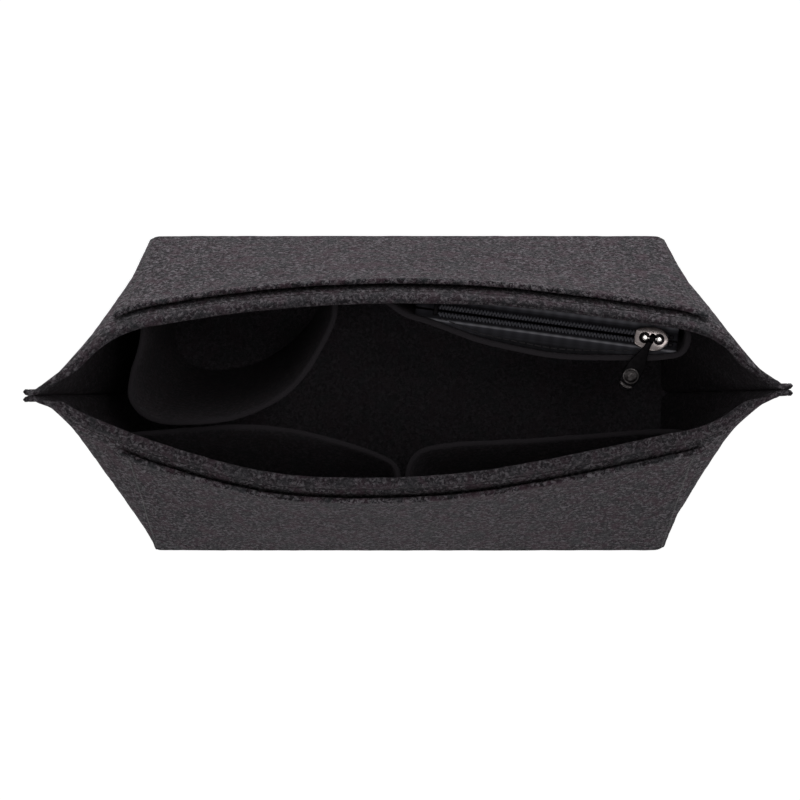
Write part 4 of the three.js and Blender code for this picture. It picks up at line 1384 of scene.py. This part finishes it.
def coil_piece(name, side):
    length = chain_end - chain_start
    piece = grown(
        name,
        coil_tree,
        bpy.data.meshes.new(name + "_start"),
        {
            "Turns": length / COIL_PITCH,
            "Length": float(length),
            "Half Width": (COIL_REACH[1] - COIL_REACH[0]) / 2 - FILAMENT,
            "Half Height": COIL_HEIGHT / 2 - FILAMENT,
            "Filament Radius": FILAMENT,
            "Filament": nylon,
        },
    )
    mesh = piece.data
    points = np.empty(len(mesh.vertices) * 3, np.float32)
    mesh.vertices.foreach_get("co", points)
    points = points.reshape(-1, 3).astype(float)
    points[:, 1] *= side
    points += [chain_start, side * sum(COIL_REACH) / 2, tape_top + COIL_HEIGHT / 2]
    mesh.vertices.foreach_set("co", (to_world(points) * MM).astype(np.float32).reshape(-1))
    if side < 0:
        mesh.flip_normals()
    mesh.update()
    return piece


rear_coil = coil_piece("rear_coil_teeth", 1)
front_coil = coil_piece("front_coil_teeth", -1)

# Stitches: a bowed length of thread on each point, along one attribute and facing another
stitch_tree, given, result = new_tree(
    "stitch_rows",
    {"Stitch Length": "Float", "Bow": "Float", "Thread Radius": "Float", "Thread": "Material"},
)


def stored_vector(name):
    return add_output(
        stitch_tree,
        "GeometryNodeInputNamedAttribute",
        {"Name": name},
        "Attribute",
        data_type="FLOAT_VECTOR",
    )


lying = add_output(
    stitch_tree, "FunctionNodeAlignRotationToVector", {"Vector": stored_vector("along")}, axis="X"
)
facing_out = add_output(
    stitch_tree,
    "FunctionNodeAlignRotationToVector",
    {"Rotation": lying, "Vector": stored_vector("outward")},
    axis="Z",
    pivot_axis="X",
)
first_end, last_end = (
    add_output(
        stitch_tree,
        "ShaderNodeCombineXYZ",
        {"X": add_math(stitch_tree, "MULTIPLY", given["Stitch Length"], share)},
    )
    for share in (-0.5, 0.5)
)
bowed = add_output(stitch_tree, "ShaderNodeCombineXYZ", {"Z": given["Bow"]})
stitch_line = add_output(
    stitch_tree,
    "GeometryNodeCurveQuadraticBezier",
    {"Resolution": 4, "Start": first_end, "Middle": bowed, "End": last_end},
)
one_stitch = add_tube(stitch_tree, stitch_line, given["Thread Radius"])
stitched = add_output(
    stitch_tree,
    "GeometryNodeInstanceOnPoints",
    {"Points": given["Geometry"], "Instance": one_stitch, "Rotation": facing_out},
)
finish_tree(stitch_tree, result, stitched, given["Thread"])

STITCH_PITCH = 3.2
STITCH_LENGTH = 2.5
THREAD_RADIUS = 0.24
stitch_places = []


def sew(line, outward_line):
    """Adds a row of stitches along a line of points, facing the given way at each point."""
    length = row_lengths(line[None])[0]
    count = max(int(length[-1] / STITCH_PITCH), 1)
    at = (np.arange(count) + 0.5) * length[-1] / count

    def along(places, values):
        return np.stack([np.interp(places, length, values[:, i]) for i in range(3)], -1)

    way = unit(along(at + 0.5, line) - along(at - 0.5, line))
    stitch_places.append(np.hstack([along(at, line), way, unit(along(at, outward_line))]))


def sew_on_wall(wall, station, height, offset, outwards=1):
    """Adds a row of stitches off a wall's outer face, facing outwards or, with -1, inwards."""
    line = wall_point(wall, station, height, offset)
    out = unit(wall_point(wall, station, height, 1.0) - wall_point(wall, station, height, 0.0))
    sew(line, np.broadcast_to(out * outwards, line.shape))


# Rows of stitches: how deep each sinks into the felt or lies over it, and the stations or
# heights that it spans
HEM_SINK = 0.38
HEM_ROW_END = 4.3
INNER_HEM_SINK = 0.32
INNER_HEM_ROW_END = 2.9
SEAM_SINK = 0.1
SEAM_ROW = (5, 157)
FOOT_SINK = 0.22
FOOT_ROW = (2.05, 3.6)
FOOT_ROW_HEIGHT = 2.0
POCKET_SIDE_LIFT = 0.05
POCKET_SIDE_ROW = (4, 152)
POCKET_FOOT_SINK = 0.25
POCKET_FOOT_SHARE = 0.985
POCKET_FOOT_HEIGHT = 3.4
THREAD_LIFT = 0.04
FLANGE_MARGIN = 2
FLANGE_FOOT_ROW = 2.4
BOTTLE_ROW_FOOT = 6

for wall, ends in ((rear, REAR_POCKET_ENDS), (front, FRONT_POCKET_ENDS)):
    hem_stations = np.linspace(-HEM_ROW_END, HEM_ROW_END, 900)
    hem_z = rim_height(wall, hem_stations) - HEM_STITCH_DROP
    roll, _ = hem_roll(wall, hem_stations, HEM_STITCH_DROP)
    sew_on_wall(wall, hem_stations, hem_z, -HEM_SINK - roll)
    hem_stations = np.linspace(-INNER_HEM_ROW_END, INNER_HEM_ROW_END, 600)
    hem_z = rim_height(wall, hem_stations) - HEM_STITCH_DROP
    _, roll_inside = hem_roll(wall, hem_stations, HEM_STITCH_DROP)
    inner_face = INNER_HEM_SINK - hem_thickness(hem_stations) - roll_inside
    sew_on_wall(wall, hem_stations, hem_z, inner_face, -1)
    pocket_station, reach = pocket_stations(wall, ends)
    side_z = np.linspace(*POCKET_SIDE_ROW, 80)
    for side, seam_reach in ((-1, POCKET_SEAM), (1, reach[-1] - POCKET_SEAM)):
        seam_z = np.linspace(*SEAM_ROW, 80)
        sew_on_wall(wall, side * SEAM_NECK, seam_z, -SEAM_NECK_PINCH - SEAM_SINK)
        sew_on_wall(wall, side * np.linspace(*FOOT_ROW, 80), FOOT_ROW_HEIGHT, -FOOT_SINK)
        seam_station = np.interp(seam_reach, reach, pocket_station)
        slack = pocket_slack(wall, ends, seam_station, side_z)
        pocket_face = PLY_GAP + FELT + slack - POCKET_SEAM_DIP + POCKET_SIDE_LIFT
        sew_on_wall(wall, seam_station, side_z, pocket_face)
    foot_stations = np.linspace(ends[0] * POCKET_FOOT_SHARE, ends[1] * POCKET_FOOT_SHARE, 400)
    sew_on_wall(wall, foot_stations, POCKET_FOOT_HEIGHT, PLY_GAP + FELT - POCKET_FOOT_SINK)

# The inner pockets' flanges: a row up each one, and one along each foot that lies on a wall
flange_face = -FELT - SEWN_GAP - FELT - THREAD_LIFT
for wall, station, floor, top in (
    (rear, BOTTLE_START + FLANGE_STATIONS / 2, BOTTLE_ROW_FOOT, BOTTLE_TOP),
    (rear, BOTTLE_END + FLANGE_STATIONS / 2, BOTTLE_ROW_FOOT, BOTTLE_TOP),
    (front, -FRONT_END - WING_FLANGE_STATIONS / 2, FRONT_FLOOR + FLANGE_MARGIN, FRONT_TOP),
    (front, FRONT_END + WING_FLANGE_STATIONS / 2, FRONT_FLOOR + FLANGE_MARGIN, FRONT_TOP),
    (rear, ZIP_START - FLANGE_STATIONS / 2, ZIP_FLOOR + FLANGE_MARGIN, ZIP_HEIGHT),
):
    sew_on_wall(wall, station, np.linspace(floor, top - FLANGE_MARGIN, 60), flange_face, -1)
for wall, first, last, floor in (
    (front, -FRONT_END, FRONT_END, FRONT_FLOOR),
    (rear, ZIP_START, ZIP_END, ZIP_FLOOR),
):
    sew_on_wall(wall, np.linspace(first, last, 400), floor + FLANGE_FOOT_ROW, flange_face, -1)


# The row on a tape: how far it starts and ends from the tape's ends, how far it lies in from
# the outer edge, and how far it stays from the middle of the chain
TAPE_ROW_MARGINS = (6, 2)
TAPE_ROW_INSET = 1.5
TAPE_ROW_CLEAR = 3


def sew_on_tape(line, side):
    """Adds a row of stitches along a tape's outer edge."""
    first, last = TAPE_ROW_MARGINS
    x = np.linspace(-TAPE_OPEN_REACH + first, TAPE_CLOSED_REACH - last, 200)
    y = chain_reach(line, x) - side * TAPE_ROW_INSET
    kept = side * y > TAPE_ROW_CLEAR
    row = from_chain(x[kept], y[kept], ZIP_HEIGHT + HALF_TAPE + THREAD_LIFT)
    sew(row, np.broadcast_to([0.0, 0.0, 1.0], row.shape))


sew_on_tape(rear_line, 1)
sew_on_tape(zip_line, -1)

stitches = np.vstack(stitch_places)
stitch_start = bpy.data.meshes.new("stitch_points")
stitch_start.from_pydata([tuple(v) for v in stitches[:, :3] * MM], [], [])
add_attribute(stitch_start, "along", stitches[:, 3:6])
add_attribute(stitch_start, "outward", stitches[:, 6:])
seam_thread = grown(
    "seam_thread",
    stitch_tree,
    stitch_start,
    {
        "Stitch Length": STITCH_LENGTH * MM,
        "Bow": 2 * THREAD_RADIUS * MM,
        "Thread Radius": THREAD_RADIUS * MM,
        "Thread": thread,
    },
)

# Making the pieces

rear_wall = wall_piece("rear_wall_felt", rear, 11)
front_wall = wall_piece("front_wall_felt", front, 12)
base_ply = base_piece()
rear_pocket = outer_pocket_piece("rear_outer_pocket_felt", rear, REAR_POCKET_ENDS, 31)
front_pocket = outer_pocket_piece("front_outer_pocket_felt", front, FRONT_POCKET_ENDS, 32)
bottle = strip_piece("bottle_pocket_felt", bottle_shape, 41)
front_left = strip_piece("front_left_pocket_felt", front_left_shape, 42)
front_right = strip_piece("front_right_pocket_felt", front_right_shape, 43)
zip_panel = strip_piece("zip_pocket_felt", zip_shape, 44)
rear_tape = tape_piece("rear_tape", rear_line, 1)
front_tape = tape_piece("front_tape", zip_line, -1)

# Each piece with the node it stands for, the body it rides on and its finish
dressed = [
    (rear_wall, "rear_wall", "shell", "shell_felt"),
    (front_wall, "front_wall", "shell", "shell_felt"),
    (base_ply, "base_panel", "shell", "shell_felt"),
    (rear_pocket, "rear_outer_pocket", "shell", "shell_felt"),
    (front_pocket, "front_outer_pocket", "shell", "shell_felt"),
    (bottle, "bottle_pocket", "shell", "inner_felt"),
    (front_left, "front_left_pocket", "shell", "inner_felt"),
    (front_right, "front_right_pocket", "shell", "inner_felt"),
    (zip_panel, "zip_pocket_panel", "shell", "inner_felt"),
    (rear_tape, "zipper_tape_rear", "shell", "zipper_tape"),
    (front_tape, "zipper_tape_front", "shell", "zipper_tape"),
    (rear_coil, "zipper_coil_rear", "shell", "zipper_coil"),
    (front_coil, "zipper_coil_front", "shell", "zipper_coil"),
    (rear_stop, "top_stop_rear", "shell", "nickel"),
    (front_stop, "top_stop_front", "shell", "nickel"),
    (bottom_stop, "bottom_stop", "shell", "nickel"),
    (slider_piece, "slider_body", "slider", "nickel"),
    (crown_piece, "slider_crown", "slider", "nickel"),
    (pull_piece, "pull_tab", "pull", "gunmetal"),
    (rivet_piece, "pull_rivet", "pull", "nickel"),
]
for piece, node_name, body, slot_name in dressed:
    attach(piece, body)
    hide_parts(node_name)
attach(lip_piece, "pull")
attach(seam_thread, "shell")

# Every ply with how it is held, the hem that the walls turn in, and the pieces that carry it; here only
# its flat size is read
hem_turn = (HEM_DEPTH + HEM / 2) * MM
sheets = [
    (rear_wall, "folded", hem_turn, [base_ply]),
    (front_wall, "folded", hem_turn, [base_ply]),
    (base_ply, "laid", 0, []),
    (rear_pocket, "stretched", 0, [rear_wall]),
    (front_pocket, "stretched", 0, [front_wall]),
    (bottle, "hung", 0, [rear_wall, base_ply]),
    (front_left, "hung", 0, [front_wall]),
    (front_right, "hung", 0, [front_wall]),
    (zip_panel, "hung", 0, [rear_wall]),
    (rear_tape, "stretched", 0, [rear_wall]),
    (front_tape, "stretched", 0, [zip_panel]),
]
for piece, held, turned, carriers in sheets:
    width, length = flat_sizes[piece.name]
    length = max(length, TAPE_WIDTH * MM)

# Table, light and view

TABLE_REACH = 3
TABLE_HEIGHT = -0.0004
table_corners = [
    (x * TABLE_REACH, y * TABLE_REACH, TABLE_HEIGHT) for x, y in ((-1, -1), (1, -1), (1, 1), (-1, 1))
]
floor_mesh = mesh_from("table_top", table_corners, [(0, 1, 2, 3)])
# White coated board: matte to the light, and white to the camera and in reflections apart from
# the object's shadow
white = bpy.data.materials.new("white_table")
white.use_nodes = True
floor_tree = white.node_tree
floor_tree.nodes.clear()
seen = add_node(floor_tree, "ShaderNodeLightPath")
direct = add_math(
    floor_tree, "MAXIMUM", seen.outputs["Is Camera Ray"], seen.outputs["Is Glossy Ray"]
)
speckle = add_noise(floor_tree, object_place(floor_tree), 9, 3.0)
board = add_ramp(floor_tree, speckle, [(0.3, "#f0f0f0"), (0.7, "#f6f6f6")])
matte = add_output(floor_tree, "ShaderNodeBsdfDiffuse", {"Color": board})
glow = add_output(floor_tree, "ShaderNodeEmission", {"Color": (1, 1, 1, 1), "Strength": 0.96})
veil = add_output(floor_tree, "ShaderNodeBsdfDiffuse", {"Color": (0.3, 0.3, 0.3, 1)})
pale = add_output(floor_tree, "ShaderNodeAddShader", {0: glow, 1: veil})
surface = add_output(floor_tree, "ShaderNodeMixShader", {0: direct, 1: matte, 2: pale})
add_node(floor_tree, "ShaderNodeOutputMaterial", {"Surface": surface})
table_top = link("table_top", floor_mesh, [white])

# Soft light from all round, weaker from above and from the front
world = bpy.data.worlds.new("studio")
bpy.context.scene.world = world
world.use_nodes = True
world_tree = world.node_tree
world_tree.nodes.clear()
towards = add_output(world_tree, "ShaderNodeTexCoord", output="Generated")
parts = add_node(world_tree, "ShaderNodeSeparateXYZ", {"Vector": towards})
by_height = add_range(
    world_tree, parts.outputs["Z"], 0.0, 0.7, 0.36, 0.24, interpolation_type="SMOOTHSTEP"
)
by_side = add_range(world_tree, parts.outputs["Y"], -1.0, 1.0, 0.36, 1.1)
strength = add_math(world_tree, "MULTIPLY", by_height, by_side)
background = add_output(
    world_tree, "ShaderNodeBackground", {"Color": (1, 1, 1, 1), "Strength": strength}
)
add_node(world_tree, "ShaderNodeOutputWorld", {"Surface": background})


def add_area(name, place, aim, size, power):
    data = bpy.data.lights.new(name, "AREA")
    data.shape = "RECTANGLE"
    data.size, data.size_y = size
    data.energy = power
    lamp = bpy.data.objects.new(name, data)
    lamp.location = place
    way = np.array(aim, float) - np.array(place, float)
    lamp.rotation_mode = "XYZ"
    flat_length = math.hypot(way[0], way[1])
    lamp.rotation_euler = (math.atan2(flat_length, -way[2]), 0, math.atan2(way[1], way[0]) - math.pi / 2)
    bpy.context.collection.objects.link(lamp)


# Light cards that stand round the table, no higher than the organizer, and softboxes that light
# the inside from above and show in the metal
add_area("card_behind", (0.0, 1.0, 0.08), (0, 0, 0.08), (2.0, 0.15), 2.25)
add_area("card_left", (-1.0, 0.2, 0.08), (0, 0, 0.08), (1.2, 0.15), 0.7)
add_area("card_right", (1.0, 0.2, 0.08), (0, 0, 0.08), (1.2, 0.15), 0.6)
add_area("softbox_above", (0.2, 0.11, 1.5), (0.1, 0, 0.15), (0.24, 0.24), 0.7)
add_area("softbox_right", (0.42, -0.12, 1.4), (0, 0, 0.15), (0.22, 0.22), 0.25)
add_area("softbox_front", (-0.1, -0.95, 1.0), (0, 0, 0.15), (0.4, 0.4), 0.5)
add_area("softbox_left", (-0.35, -0.4, 1.35), (0.1, 0, 0.15), (0.2, 0.2), 0.5)

bpy.context.scene.view_settings.view_transform = "Standard"
